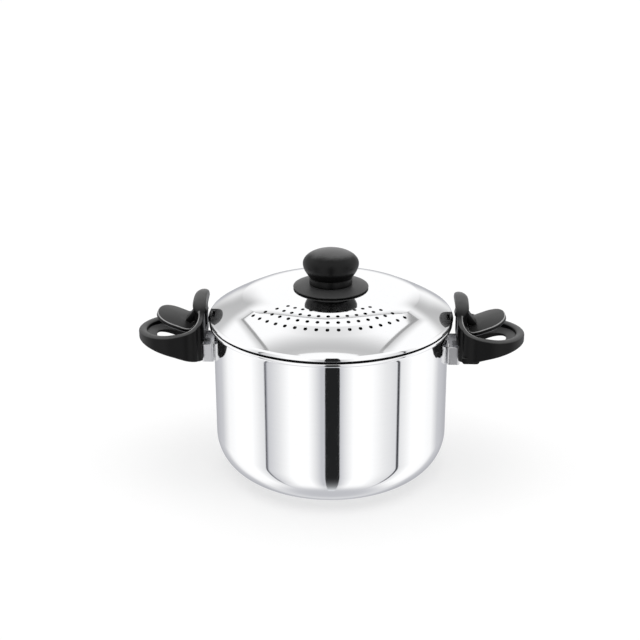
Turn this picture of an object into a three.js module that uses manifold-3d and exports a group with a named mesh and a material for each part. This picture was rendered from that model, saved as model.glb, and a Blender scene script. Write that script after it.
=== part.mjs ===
// Rice strainer pot: a drawn steel pot with a domed strainer lid and two moulded loop handles.
// Each handle carries a sprung thumb lever whose nose swings over the edge of the lid.
// Millimetres, +Z up, origin at the centre of the base on the table.
// The handles lie along X and the strainer holes face -Y.

import * as THREE from "three";
import { ParametricGeometry } from "three/addons/geometries/ParametricGeometry.js";
import { mergeVertices } from "three/addons/utils/BufferGeometryUtils.js";
import Module from "manifold-3d";

const wasm = await Module();
wasm.setup();

// Fits
const SEAT_GAP = 0.3; // between pieces that touch
const BORE_GAP = 0.3; // round a pin or a screw
const RUN_GAP = 0.8; // beside a piece that swings

// Pot
const POT_RADIUS = 98.5; // outside of the straight wall
const POT_RIM_HEIGHT = 133.6; // top of the rolled rim
const POT_WALL = 1.0;
const POT_CORNER_RADIUS = 34;
const RIM_BEAD_RADIUS = 1.7;
const RIM_OVERHANG = 3.5; // bead beyond the wall
const RIM_FILLET = 1.2;

// Lid
const LID_SHEET = 0.9;
const LID_OVERLAP = 0.5; // edge beyond the rim's bead
const LID_EDGE_HEIGHT = 1.6; // upright edge above the seat
const LID_EDGE_RADIUS = 4.5;
const LID_SLOPE = 29; // degrees, on the cone between edge and shoulder
const LID_SHOULDER_RADIUS = 75;
const LID_CAP_EDGE = 50; // where the flat crown ends
const LID_CAP_RADIUS = 700;
const LID_PLUG_DEPTH = 4.6; // locating skirt below the seat
const LID_PLUG_GAP = 0.6; // skirt inside the pot's mouth

// Strainer holes, in rows of arcs
const HOLE_RADIUS = 1.55;
const HOLE_ROWS = 4;
const HOLE_FIRST_ROW_RADIUS = 53.8;
const HOLE_ROW_PITCH = 7.7;
const HOLE_FIRST_ROW_COUNT = 11;
const HOLE_COUNT_STEP = 2;
const HOLE_FIRST_HALF_ANGLE = 37.8; // degrees
const HOLE_HALF_ANGLE_STEP = 4.8; // degrees

// Knob
const GUARD_RADIUS = 31.4;
const GUARD_THICKNESS = 2.7;
const GRIP_RADIUS = 23.3;
const NECK_RADIUS = 17.9;
const NECK_HEIGHT = 5.2;
const NECK_GROOVE = 0.6;
const GRIP_BELLY_HEIGHT = 17.2; // widest place above the guard
const GRIP_HEIGHT = 29;
const INSERT_RADIUS = 5;
const INSERT_LENGTH = 15;
const KNOB_SCREW_RADIUS = 2.5;
const KNOB_SCREW_HEAD_RADIUS = 4.6;
const KNOB_SCREW_HEAD = 2.8;
const KNOB_SCREW_REACH = 12; // into the insert
const KNOB_WASHER_RADIUS = 8;
const KNOB_WASHER_THICKNESS = 1;

// Handle
const SHIELD_GAP = 3; // lid edge to the shield's inner face
const HANDLE_LENGTH = 57; // shield's inner face to the loop's end
const HANDLE_WIDTH = 60;
const BAND_THICKNESS = 7;
const SHIELD_THICKNESS = 7.8;
const HANDLE_CORNER = 12; // plan radius of the ring's middle line
const LOOP_TOP_DROP = 10.4; // below the pot's rim
const LOOP_TIP_HEIGHT = 7;
const ROOT_DROP = 32; // root's bottom below the pot's rim
const ROOT_SETBACK = 3; // root further from the pot than the shield above it
const ROOT_BOSS = 4; // thicker back of the root round the screw
const SHIELD_RISE = 22.2; // shield's top above the pot's rim
const SHIELD_HALF_WIDTH = 13.2;
const SHIELD_CROWN = 3.6; // top's fall from the middle to the sides
const SHIELD_EDGE = 0.7; // width over which the sides fall to the cheeks
const CHEEK_RISE = 15; // cheeks above the loop where they meet the shield
const CHEEK_SWEEP = 14; // length over which the cheeks fall
const SHIELD_BULGE_IN = 2.3; // club head towards the lid
const SHIELD_BULGE_OUT = 1.4;
const SHIELD_BULGE_START = 4; // above the pot's rim
const SHIELD_BULGE_FULL = 14;
const SHIELD_SLANT = 1.8; // club head higher at the lid's side
const SECTION_FADE = 7; // height over which the root's set-back fades
const LOOP_TOP_ROUND = 2;
const BOTTOM_ROUND = 1.6;
const LEDGE_DEPTH = 5.2; // step low on the inside of the loop
const FOOT_INSET = 3.2; // from the shield's inner face
const FOOT_LENGTH = 15;
const FOOT_WIDTH = 6;
const FOOT_RISE = 2.6; // above the root's bottom
const FOOT_HEIGHT = 5;

// Bracket and handle screw
const STRAP_THICKNESS = 1.5;
const STRAP_HALF_WIDTH = 17;
const STRAP_HEIGHT = 15.5;
const STRAP_BEND = 4;
const STRAP_TOP_DROP = 19.6; // below the pot's rim
const STRAP_EAR = 7; // welded ear along the wall
const SCREW_DROP = 4.9; // below the strap's top
const SCREW_RADIUS = 2.4;
const SCREW_HEAD_RADIUS = 4.3;
const SCREW_HEAD = 2.4;
const WASHER_RADIUS = 4.8;
const WASHER_THICKNESS = 0.8;
const COUNTERBORE_DEPTH = 2.6;
const NUT_WIDTH = 8; // across flats
const NUT_THICKNESS = 3.6;

// Lock lever
const LOCK_ANGLE = 17; // degrees from released to locked
const PIVOT_RISE = 14.9; // above the pot's rim
const PIVOT_INSET = 3.4; // behind the shield's inner face
const PIN_RADIUS = 1.5;
const PIN_HALF_LENGTH = 9.6;
const HUB_RADIUS = 3.4;
const LEVER_WIDTH = 11.4;
const NOSE_BITE = 2; // locked nose inside the lid's edge
const NOSE_GAP = 0.6; // locked nose above the lid
const NOSE_HEIGHT = 4.4;
const HEEL_DEPTH = 13.3; // underside of the nose below the pivot
const ARM_HALF = 3.6; // arm's outer face from the pivot
const ARM_WAIST = 2.2; // arm's inner face from the pivot, above the nose
const ARM_WAIST_DROP = 4.6;
const NECK_TOP_DROP = 8;
const PLATE_LENGTH = 29;
const PLATE_WIDTH = 42;
const PLATE_THICKNESS = 4.4;
const PLATE_CROWN = 1.6;
const PLATE_BELLY = 3;
const PLATE_TILT = 21; // degrees, outer end up
const PLATE_REACH = 23.7; // plate's middle from the pivot
const PLATE_DROP = 16.8;
const CAVITY_WALL = 1.3; // shield's skin over the hub
const CAVITY_TOP_WALL = 3.4;
const CAVITY_FLOOR_DROP = 10.1; // below the pot's rim
const WINDOW_TOP_RISE = 9.4; // outer window, above the pot's rim
const NOSE_WINDOW_TOP_RISE = 11.6;
const NOSE_WINDOW_FLOOR_DROP = 5.6;
const RELIEF_HALF_WIDTH = 15; // pocket behind the thumb plate
const RELIEF_DEPTH = 1.9;
const RELIEF_TOP_RISE = 2;
const RELIEF_FLOOR_DROP = 15;

// Lever spring
const WIRE_RADIUS = 0.4;
const SPRING_RADIUS = 2.6; // to the middle of the wire
const SPRING_TURNS = 3;
const SPRING_PITCH = 1.3;
const SPRING_LEG_FIXED = 3.2;
const SPRING_LEG_MOVING = 3.9;
const SPRING_RECESS = 2; // lever cut back round the coil

// Facets
const ROUND_STEPS = 32;
const SMALL_ROUND_STEPS = 16;
const HOLE_STEPS = 6;
const RING_STATIONS = 40;
const SECTION_ARC = 3; // steps in each rounded quarter of the ring's section
const SECTION_SIDE = 4;
const PLATE_STEPS = 28;
const FLARE_STEPS = 4;
const DOME_STEPS = 6;
const TURN_STEPS = 8; // along each turn of the spring
const SPRING_SAMPLES = 120;

// Places worked out from the driving dimensions
const degrees = THREE.MathUtils.degToRad;
const rimRadius = POT_RADIUS + RIM_OVERHANG;
const mouthRadius = POT_RADIUS - POT_WALL;
const lidRadius = rimRadius + LID_OVERLAP;
const lidSeat = POT_RIM_HEIGHT + SEAT_GAP;
const lid = lidPlaces();
const guardBottom = lid.crown + SEAT_GAP;
const guardTop = guardBottom + GUARD_THICKNESS;
const gripBottom = guardTop + SEAT_GAP;
const shieldFace = lidRadius + SHIELD_GAP;
const handleReach = shieldFace + HANDLE_LENGTH;
const rootMiddle = shieldFace + SHIELD_THICKNESS / 2;
const rootBack = shieldFace + SHIELD_THICKNESS;
const loopTop = POT_RIM_HEIGHT - LOOP_TOP_DROP;
const rootBottom = POT_RIM_HEIGHT - ROOT_DROP;
const shieldTop = POT_RIM_HEIGHT + SHIELD_RISE;
const strapTop = POT_RIM_HEIGHT - STRAP_TOP_DROP;
const screwHeight = strapTop - SCREW_DROP;
const strapFace = shieldFace + ROOT_SETBACK - SEAT_GAP;
const bossBack = rootBack + ROOT_BOSS;
const pivotX = shieldFace + PIVOT_INSET;
const pivotZ = POT_RIM_HEIGHT + PIVOT_RISE;
const cavityHalfWidth = LEVER_WIDTH / 2 + RUN_GAP;

const steel = () => new THREE.MeshStandardMaterial({ color: 0xd9dbde, roughness: 0.12, metalness: 1 });
const phenolic = () => new THREE.MeshStandardMaterial({ color: 0x1d1d1f, roughness: 0.45, metalness: 0 });
const zinc = () => new THREE.MeshStandardMaterial({ color: 0xa9abad, roughness: 0.35, metalness: 1 });
const brass = () => new THREE.MeshStandardMaterial({ color: 0xb58d3d, roughness: 0.3, metalness: 1 });

// Turns a closed geometry into a solid that can be joined and cut.
function solid(geometry) {
  const bare = geometry.clone();
  bare.deleteAttribute("normal");
  bare.deleteAttribute("uv");
  const merged = mergeVertices(bare, 1e-4);
  const mesh = new wasm.Mesh({
    numProp: 3,
    vertProperties: new Float32Array(merged.attributes.position.array),
    triVerts: new Uint32Array(merged.index.array),
  });
  mesh.merge();
  return new wasm.Manifold(mesh);
}

// Turns a solid back into a geometry.
function geometryOf(body) {
  const mesh = body.getMesh();
  const geometry = new THREE.BufferGeometry();
  geometry.setAttribute("position", new THREE.BufferAttribute(new Float32Array(mesh.vertProperties), 3));
  geometry.setIndex(new THREE.BufferAttribute(new Uint32Array(mesh.triVerts), 1));
  geometry.computeVertexNormals();
  return geometry;
}

function join(geometries) {
  return geometryOf(geometries.map(solid).reduce((whole, piece) => whole.add(piece)));
}

function cut(geometry, tools) {
  return geometryOf(tools.map(solid).reduce((left, tool) => left.subtract(tool), solid(geometry)));
}

// Points of an arc in a profile, with angles in degrees from the radial direction.
function arc(centreX, centreY, radius, from, to, steps) {
  return Array.from({ length: steps + 1 }, (_, step) => {
    const angle = degrees(from + ((to - from) * step) / steps);
    return new THREE.Vector2(centreX + radius * Math.cos(angle), centreY + radius * Math.sin(angle));
  });
}

// Turns a profile of radius and height round the Z axis.
function turned(profile, steps) {
  const geometry = new THREE.LatheGeometry(profile, steps);
  geometry.rotateX(Math.PI / 2);
  return geometry;
}

// A flat ring with a square section.
function ring(inner, outer, bottom, top, steps) {
  const profile = [
    new THREE.Vector2(inner, bottom),
    new THREE.Vector2(outer, bottom),
    new THREE.Vector2(outer, top),
    new THREE.Vector2(inner, top),
    new THREE.Vector2(inner, bottom),
  ];
  return turned(profile, steps);
}

function box(low, high) {
  const size = new THREE.Vector3().subVectors(high, low);
  const middle = new THREE.Vector3().addVectors(low, high).multiplyScalar(0.5);
  const geometry = new THREE.BoxGeometry(size.x, size.y, size.z);
  geometry.translate(middle.x, middle.y, middle.z);
  return geometry;
}

// A round bar along X from one place to another.
function barAlongX(radius, from, to, height) {
  const geometry = new THREE.CylinderGeometry(radius, radius, to - from, SMALL_ROUND_STEPS);
  geometry.rotateZ(-Math.PI / 2);
  geometry.translate((from + to) / 2, 0, height);
  return geometry;
}

// A round bar along Y through the lever's pivot.
function barOnPivot(radius, from, to) {
  const geometry = new THREE.CylinderGeometry(radius, radius, to - from, SMALL_ROUND_STEPS);
  geometry.translate(pivotX, (from + to) / 2, pivotZ);
  return geometry;
}

function piece(name, geometry, material) {
  const mesh = new THREE.Mesh(geometry, material);
  mesh.name = name;
  return mesh;
}

// The pot: wall, base and corner of one thickness, and a rim rolled outwards.
function potBody() {
  const cornerMiddle = POT_RADIUS - POT_CORNER_RADIUS;
  const beadMiddle = rimRadius - RIM_BEAD_RADIUS;
  const beadHeight = POT_RIM_HEIGHT - RIM_BEAD_RADIUS;
  const fillet = Math.min(RIM_FILLET, beadMiddle - POT_RADIUS);
  const underBead = beadHeight - RIM_BEAD_RADIUS;
  const profile = [
    new THREE.Vector2(0, 0),
    ...arc(cornerMiddle, POT_CORNER_RADIUS, POT_CORNER_RADIUS, -90, 0, 8),
    ...arc(POT_RADIUS + fillet, underBead - fillet, fillet, 180, 90, 2),
    ...arc(beadMiddle, beadHeight, RIM_BEAD_RADIUS, -90, 90, 6),
    ...arc(mouthRadius + RIM_FILLET, POT_RIM_HEIGHT - RIM_FILLET, RIM_FILLET, 90, 180, 2),
    ...arc(cornerMiddle, POT_CORNER_RADIUS, POT_CORNER_RADIUS - POT_WALL, 0, -90, 8),
    new THREE.Vector2(0, POT_WALL),
  ];
  return turned(profile, ROUND_STEPS);
}

// Where the lid's arcs meet, from the edge up to the crown.
function lidPlaces() {
  const slope = degrees(LID_SLOPE);
  const capAngle = Math.asin(LID_CAP_EDGE / LID_CAP_RADIUS);
  const edgeMiddle = new THREE.Vector2(lidRadius - LID_EDGE_RADIUS, lidSeat + LID_EDGE_HEIGHT);
  const coneFoot = new THREE.Vector2(
    edgeMiddle.x + LID_EDGE_RADIUS * Math.sin(slope),
    edgeMiddle.y + LID_EDGE_RADIUS * Math.cos(slope),
  );
  const coneHeadRadius = LID_CAP_EDGE + LID_SHOULDER_RADIUS * (Math.sin(slope) - Math.sin(capAngle));
  const coneHead = new THREE.Vector2(
    coneHeadRadius,
    coneFoot.y + (coneFoot.x - coneHeadRadius) * Math.tan(slope),
  );
  const shoulderMiddle = new THREE.Vector2(
    coneHead.x - LID_SHOULDER_RADIUS * Math.sin(slope),
    coneHead.y - LID_SHOULDER_RADIUS * Math.cos(slope),
  );
  const capMiddle = shoulderMiddle.y - (LID_CAP_RADIUS - LID_SHOULDER_RADIUS) * Math.cos(capAngle);
  const crown = capMiddle + LID_CAP_RADIUS;
  return { slope, capAngle, edgeMiddle, coneFoot, shoulderMiddle, capMiddle, crown };
}

// The lid's curve from the knob's hole to the edge, set in by a depth.
function lidCurve(depth) {
  const capDegrees = THREE.MathUtils.radToDeg(lid.capAngle);
  const holeAngle = THREE.MathUtils.radToDeg(Math.asin(knobHoleRadius() / LID_CAP_RADIUS));
  return [
    ...arc(0, lid.capMiddle, LID_CAP_RADIUS - depth, 90 - holeAngle, 90 - capDegrees, 3),
    ...arc(lid.shoulderMiddle.x, lid.shoulderMiddle.y, LID_SHOULDER_RADIUS - depth,
      90 - capDegrees, 90 - LID_SLOPE, 5).slice(1),
    ...arc(lid.edgeMiddle.x, lid.edgeMiddle.y, LID_EDGE_RADIUS - depth, 90 - LID_SLOPE, 0, 3),
  ];
}

function knobHoleRadius() {
  return KNOB_SCREW_RADIUS + BORE_GAP;
}

// Height of the lid's outer face on the cone near its edge.
function lidConeHeight(radius) {
  return lid.coneFoot.y + (lid.coneFoot.x - radius) * Math.tan(lid.slope);
}

// The lid: a domed sheet, folded under at the edge into a skirt that plugs the pot's mouth.
function lidShell() {
  const skirtOuter = mouthRadius - LID_PLUG_GAP;
  const skirtInner = skirtOuter - LID_SHEET;
  const skirtBottom = lidSeat - LID_PLUG_DEPTH;
  const foldTop = lidSeat + LID_SHEET;
  const outer = lidCurve(0);
  const inner = lidCurve(LID_SHEET).reverse();
  const profile = [
    ...outer,
    new THREE.Vector2(lidRadius, lidSeat),
    new THREE.Vector2(skirtOuter, lidSeat),
    new THREE.Vector2(skirtOuter, skirtBottom),
    new THREE.Vector2(skirtInner, skirtBottom),
    new THREE.Vector2(skirtInner, foldTop),
    new THREE.Vector2(lidRadius - LID_SHEET, foldTop),
    ...inner,
    outer[0].clone(),
  ].reverse();
  return cut(turned(profile, ROUND_STEPS), strainerHoles());
}

// One upright cutter for each strainer hole, in rows that widen outwards.
function strainerHoles() {
  const cutters = [];
  for (let row = 0; row < HOLE_ROWS; row += 1) {
    const radius = HOLE_FIRST_ROW_RADIUS + row * HOLE_ROW_PITCH;
    const halfAngle = degrees(HOLE_FIRST_HALF_ANGLE + row * HOLE_HALF_ANGLE_STEP);
    const count = HOLE_FIRST_ROW_COUNT + row * HOLE_COUNT_STEP;
    for (let hole = 0; hole < count; hole += 1) {
      const angle = -Math.PI / 2 + halfAngle * ((2 * hole) / (count - 1) - 1);
      const depth = lid.crown - lidSeat;
      const cutter = new THREE.CylinderGeometry(HOLE_RADIUS, HOLE_RADIUS, depth, HOLE_STEPS);
      cutter.rotateX(Math.PI / 2);
      cutter.translate(radius * Math.cos(angle), radius * Math.sin(angle), lid.crown - depth / 3);
      cutters.push(cutter);
    }
  }
  return cutters;
}

function knobGuard() {
  const lip = GUARD_THICKNESS / 2;
  const hole = knobHoleRadius();
  const profile = [
    new THREE.Vector2(hole, guardBottom),
    ...arc(GUARD_RADIUS - lip, guardBottom + lip, lip, -90, 90, 4),
    new THREE.Vector2(hole, guardTop),
    new THREE.Vector2(hole, guardBottom),
  ];
  return turned(profile, ROUND_STEPS);
}

// The grip: a collar, a fine groove, a flared underside and a domed top, bored for its insert.
function knobGrip() {
  const bore = INSERT_RADIUS + BORE_GAP;
  const boreTop = gripBottom + INSERT_LENGTH + SEAT_GAP;
  const belly = gripBottom + GRIP_BELLY_HEIGHT;
  const flareFoot = gripBottom + NECK_HEIGHT + NECK_GROOVE;
  const flare = Array.from({ length: FLARE_STEPS + 1 }, (_, step) => {
    const part = step / FLARE_STEPS;
    const radius = NECK_RADIUS + (GRIP_RADIUS - NECK_RADIUS) * Math.sin((part * Math.PI) / 2);
    return new THREE.Vector2(radius, flareFoot + (belly - flareFoot) * part);
  });
  const dome = Array.from({ length: DOME_STEPS }, (_, step) => {
    const angle = ((step + 1) / DOME_STEPS) * (Math.PI / 2);
    return new THREE.Vector2(
      GRIP_RADIUS * Math.cos(angle),
      belly + (GRIP_HEIGHT - GRIP_BELLY_HEIGHT) * Math.sin(angle),
    );
  });
  dome[dome.length - 1].x = 0;
  const profile = [
    new THREE.Vector2(0, boreTop),
    new THREE.Vector2(bore, boreTop),
    new THREE.Vector2(bore, gripBottom),
    new THREE.Vector2(NECK_RADIUS, gripBottom),
    new THREE.Vector2(NECK_RADIUS, gripBottom + NECK_HEIGHT),
    new THREE.Vector2(NECK_RADIUS - NECK_GROOVE, gripBottom + NECK_HEIGHT),
    ...flare,
    ...dome,
  ];
  return turned(profile, ROUND_STEPS);
}

function knobScrew() {
  const washerBottom = lid.crown - LID_SHEET - SEAT_GAP - KNOB_WASHER_THICKNESS;
  const headTop = washerBottom - SEAT_GAP;
  const profile = [
    new THREE.Vector2(0, headTop - KNOB_SCREW_HEAD),
    new THREE.Vector2(KNOB_SCREW_HEAD_RADIUS, headTop - KNOB_SCREW_HEAD),
    new THREE.Vector2(KNOB_SCREW_HEAD_RADIUS, headTop),
    new THREE.Vector2(KNOB_SCREW_RADIUS, headTop),
    new THREE.Vector2(KNOB_SCREW_RADIUS, gripBottom + KNOB_SCREW_REACH),
    new THREE.Vector2(0, gripBottom + KNOB_SCREW_REACH),
  ];
  return turned(profile, SMALL_ROUND_STEPS);
}

function knobWasher() {
  const top = lid.crown - LID_SHEET - SEAT_GAP;
  return ring(knobHoleRadius(), KNOB_WASHER_RADIUS, top - KNOB_WASHER_THICKNESS, top, SMALL_ROUND_STEPS);
}

function knobInsert() {
  return ring(knobHoleRadius(), INSERT_RADIUS, gripBottom, gripBottom + INSERT_LENGTH, SMALL_ROUND_STEPS);
}

// The middle line of the handle's ring in plan: shield, corners, legs and round end.
function handleRing() {
  const legOffset = HANDLE_WIDTH / 2 - BAND_THICKNESS / 2;
  const endMiddle = handleReach - HANDLE_WIDTH / 2;
  const cornerX = rootMiddle + HANDLE_CORNER;
  const cornerY = legOffset - HANDLE_CORNER;
  const path = new THREE.Path();
  path.moveTo(rootMiddle, 0);
  path.lineTo(rootMiddle, -cornerY);
  path.absarc(cornerX, -cornerY, HANDLE_CORNER, Math.PI, 1.5 * Math.PI);
  path.lineTo(endMiddle, -legOffset);
  path.absarc(endMiddle, 0, legOffset, -Math.PI / 2, Math.PI / 2);
  path.lineTo(cornerX, legOffset);
  path.absarc(cornerX, cornerY, HANDLE_CORNER, Math.PI / 2, Math.PI);
  path.lineTo(rootMiddle, 0);
  return path;
}

// The handle's moulded ring: one section carried round the plan, low at the loop and tall at the shield.
function handleLoop() {
  const path = handleRing();
  const length = path.getLength();
  const stationCrowding = 0.6;
  const ledgeFull = 0.3;
  const ledgeGone = 0.6;
  const halfSteps = 2 * SECTION_ARC + SECTION_SIDE;
  const smooth = THREE.MathUtils.smoothstep;
  const lerp = THREE.MathUtils.lerp;
  const shieldHeight = shieldTop - loopTop - CHEEK_RISE;
  const sweepEnd = SHIELD_HALF_WIDTH + 2 * CHEEK_SWEEP;

  // Top edge at a distance from the shield's middle: club, sweeping cheek, level loop.
  function topEdge(fromRoot) {
    const cheek = CHEEK_RISE * Math.exp(-Math.max(fromRoot - SHIELD_HALF_WIDTH, 0) / CHEEK_SWEEP);
    const crown = SHIELD_CROWN * Math.min(fromRoot / SHIELD_HALF_WIDTH, 1) ** 2;
    const side = 1 + Math.exp((fromRoot - SHIELD_HALF_WIDTH) / SHIELD_EDGE);
    return loopTop + cheek + (shieldHeight - crown) / side;
  }

  // Height and fullness of the section at a step from its bottom: quarter round, flat side, quarter round.
  function sectionAt(step, bottom, top, topRound) {
    if (step <= SECTION_ARC) {
      const angle = (step / SECTION_ARC) * (Math.PI / 2);
      return { height: bottom + BOTTOM_ROUND * (1 - Math.cos(angle)), fullness: Math.sin(angle) };
    }
    if (step <= SECTION_ARC + SECTION_SIDE) {
      const share = (step - SECTION_ARC) / SECTION_SIDE;
      return { height: lerp(bottom + BOTTOM_ROUND, top - topRound, share), fullness: 1 };
    }
    const angle = ((step - SECTION_ARC - SECTION_SIDE) / SECTION_ARC) * (Math.PI / 2);
    return { height: top - topRound * (1 - Math.sin(angle)), fullness: Math.cos(angle) };
  }

  function place(around, across, target) {
    const crowded = around - (stationCrowding * Math.sin(2 * Math.PI * around)) / (2 * Math.PI);
    const share = THREE.MathUtils.clamp(crowded, 0, 1);
    const middle = path.getPointAt(share);
    const heading = path.getTangentAt(share);
    const fromRoot = Math.min(share, 1 - share) * length;
    const atLoop = smooth(fromRoot, SHIELD_HALF_WIDTH, sweepEnd);
    const half = lerp(SHIELD_THICKNESS, BAND_THICKNESS, atLoop) / 2;
    const bottomShare = (middle.x - shieldFace) / HANDLE_LENGTH;
    const bottom = lerp(rootBottom, loopTop - LOOP_TIP_HEIGHT, bottomShare);
    const top = topEdge(fromRoot);
    const outside = across < 0.5;
    const step = Math.round(2 * halfSteps * Math.min(across, 1 - across));
    const { height, fullness } = sectionAt(step, bottom, top, lerp(half, LOOP_TOP_ROUND, atLoop));
    const club = smooth(height, POT_RIM_HEIGHT + SHIELD_BULGE_START, POT_RIM_HEIGHT + SHIELD_BULGE_FULL);
    const ledge = atLoop * LEDGE_DEPTH * (1 - smooth((height - bottom) / (top - bottom), ledgeFull, ledgeGone));
    const low = (1 - atLoop) * (1 - smooth(height, loopTop - SECTION_FADE, loopTop + 2 * SECTION_FADE));
    const boss = low * ROOT_BOSS * (1 - smooth(fromRoot, SHIELD_HALF_WIDTH / 2, SHIELD_HALF_WIDTH));
    const side = outside ? 1 : -1;
    const lidSide = half + club * SHIELD_BULGE_IN - low * ROOT_SETBACK;
    const loopSide = half + club * SHIELD_BULGE_OUT + ledge + boss;
    const reach = outside ? lidSide : loopSide;
    const offset = fullness * side * reach;
    const slant = club * SHIELD_SLANT * fullness * side;
    target.set(middle.x + heading.y * offset, middle.y - heading.x * offset, height + slant);
  }

  return new ParametricGeometry(place, RING_STATIONS, 2 * halfSteps);
}

// The handle: ring and foot, bored for screw and pin, and hollowed in the shield for the lever.
function handle() {
  const outerEdge = HANDLE_WIDTH / 2;
  const footStart = shieldFace + FOOT_INSET;
  const foot = box(
    new THREE.Vector3(footStart, -outerEdge + BAND_THICKNESS / 4, rootBottom + FOOT_RISE),
    new THREE.Vector3(footStart + FOOT_LENGTH, -outerEdge + FOOT_WIDTH, rootBottom + FOOT_RISE + FOOT_HEIGHT),
  );
  const clubFront = shieldFace - SHIELD_BULGE_IN;
  const cavityFloor = POT_RIM_HEIGHT - CAVITY_FLOOR_DROP;
  const through = HANDLE_LENGTH / 4;
  const wide = cavityHalfWidth;
  const relief = RELIEF_HALF_WIDTH;
  const cavity = box(
    new THREE.Vector3(clubFront + CAVITY_WALL, -wide, cavityFloor),
    new THREE.Vector3(pivotX + HUB_RADIUS + RUN_GAP, wide, shieldTop - CAVITY_TOP_WALL),
  );
  const noseWindow = box(
    new THREE.Vector3(clubFront - through, -wide, POT_RIM_HEIGHT - NOSE_WINDOW_FLOOR_DROP),
    new THREE.Vector3(rootMiddle, wide, POT_RIM_HEIGHT + NOSE_WINDOW_TOP_RISE),
  );
  const neckWindow = box(
    new THREE.Vector3(rootMiddle, -wide, cavityFloor),
    new THREE.Vector3(rootBack + through, wide, POT_RIM_HEIGHT + WINDOW_TOP_RISE),
  );
  const plateRelief = box(
    new THREE.Vector3(rootBack - RELIEF_DEPTH, -relief, POT_RIM_HEIGHT - RELIEF_FLOOR_DROP),
    new THREE.Vector3(bossBack + RELIEF_DEPTH, relief, POT_RIM_HEIGHT + RELIEF_TOP_RISE),
  );
  const counterboreFloor = bossBack - COUNTERBORE_DEPTH;
  return cut(join([handleLoop(), foot]), [
    cavity,
    noseWindow,
    neckWindow,
    plateRelief,
    barOnPivot(PIN_RADIUS + BORE_GAP, -PIN_HALF_LENGTH - SEAT_GAP, HANDLE_WIDTH / 3),
    barAlongX(SCREW_RADIUS + BORE_GAP, shieldFace - through, bossBack + through, screwHeight),
    barAlongX(WASHER_RADIUS + BORE_GAP, counterboreFloor, bossBack + through, screwHeight),
  ]);
}

// The bracket: a strap bent into a U in plan, with its ears along the pot's wall.
function bracket() {
  const inner = STRAP_HALF_WIDTH - STRAP_THICKNESS;
  const bend = STRAP_BEND;
  const earRadius = POT_RADIUS + SEAT_GAP;
  const onEar = (radius, across) => Math.sqrt(radius ** 2 - across ** 2);
  const earTip = inner - STRAP_EAR;
  const earOuter = earRadius + STRAP_THICKNESS;
  const shape = new THREE.Shape();
  shape.moveTo(onEar(earRadius, earTip), earTip);
  shape.lineTo(onEar(earRadius, STRAP_HALF_WIDTH), STRAP_HALF_WIDTH);
  shape.lineTo(strapFace - bend, STRAP_HALF_WIDTH);
  shape.absarc(strapFace - bend, STRAP_HALF_WIDTH - bend, bend, Math.PI / 2, 0, true);
  shape.lineTo(strapFace, bend - STRAP_HALF_WIDTH);
  shape.absarc(strapFace - bend, bend - STRAP_HALF_WIDTH, bend, 0, -Math.PI / 2, true);
  shape.lineTo(onEar(earRadius, STRAP_HALF_WIDTH), -STRAP_HALF_WIDTH);
  shape.lineTo(onEar(earRadius, earTip), -earTip);
  shape.lineTo(onEar(earOuter, earTip), -earTip);
  shape.lineTo(onEar(earOuter, inner), -inner);
  shape.absarc(strapFace - bend, bend - STRAP_HALF_WIDTH, bend - STRAP_THICKNESS, -Math.PI / 2, 0, false);
  shape.absarc(strapFace - bend, STRAP_HALF_WIDTH - bend, bend - STRAP_THICKNESS, 0, Math.PI / 2, false);
  shape.lineTo(onEar(earOuter, inner), inner);
  shape.lineTo(onEar(earOuter, earTip), earTip);
  shape.closePath();
  const strap = new THREE.ExtrudeGeometry(shape, {
    depth: STRAP_HEIGHT,
    bevelEnabled: false,
    curveSegments: 5,
  });
  strap.translate(0, 0, strapTop - STRAP_HEIGHT);
  const hole = barAlongX(SCREW_RADIUS + BORE_GAP, strapFace - bend, strapFace + bend, screwHeight);
  return cut(strap, [hole]);
}

function bracketNut() {
  const back = strapFace - STRAP_THICKNESS - SEAT_GAP;
  const nut = new THREE.CylinderGeometry(NUT_WIDTH / Math.sqrt(3), NUT_WIDTH / Math.sqrt(3), NUT_THICKNESS, 6);
  nut.rotateZ(-Math.PI / 2);
  nut.translate(back - NUT_THICKNESS / 2, 0, screwHeight);
  const hole = barAlongX(SCREW_RADIUS + BORE_GAP, back - 2 * NUT_THICKNESS, back + NUT_THICKNESS, screwHeight);
  return cut(nut, [hole]);
}

function handleWasher() {
  const face = bossBack - COUNTERBORE_DEPTH + SEAT_GAP;
  const disc = barAlongX(WASHER_RADIUS, face, face + WASHER_THICKNESS, screwHeight);
  const hole = barAlongX(SCREW_RADIUS + BORE_GAP, face - WASHER_RADIUS, face + WASHER_RADIUS, screwHeight);
  return cut(disc, [hole]);
}

function handleScrew() {
  const headFace = bossBack - COUNTERBORE_DEPTH + WASHER_THICKNESS + 2 * SEAT_GAP;
  const tip = strapFace - STRAP_THICKNESS - SEAT_GAP - NUT_THICKNESS;
  return join([
    barAlongX(SCREW_HEAD_RADIUS, headFace, headFace + SCREW_HEAD, screwHeight),
    barAlongX(SCREW_RADIUS, tip, headFace + SCREW_HEAD / 2, screwHeight),
  ]);
}

// A point of the lever when released, from its place when locked.
function released(lockedX, lockedZ) {
  const turn = degrees(LOCK_ANGLE);
  const x = lockedX - pivotX;
  const z = lockedZ - pivotZ;
  return new THREE.Vector2(x * Math.cos(turn) - z * Math.sin(turn), x * Math.sin(turn) + z * Math.cos(turn));
}

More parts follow.
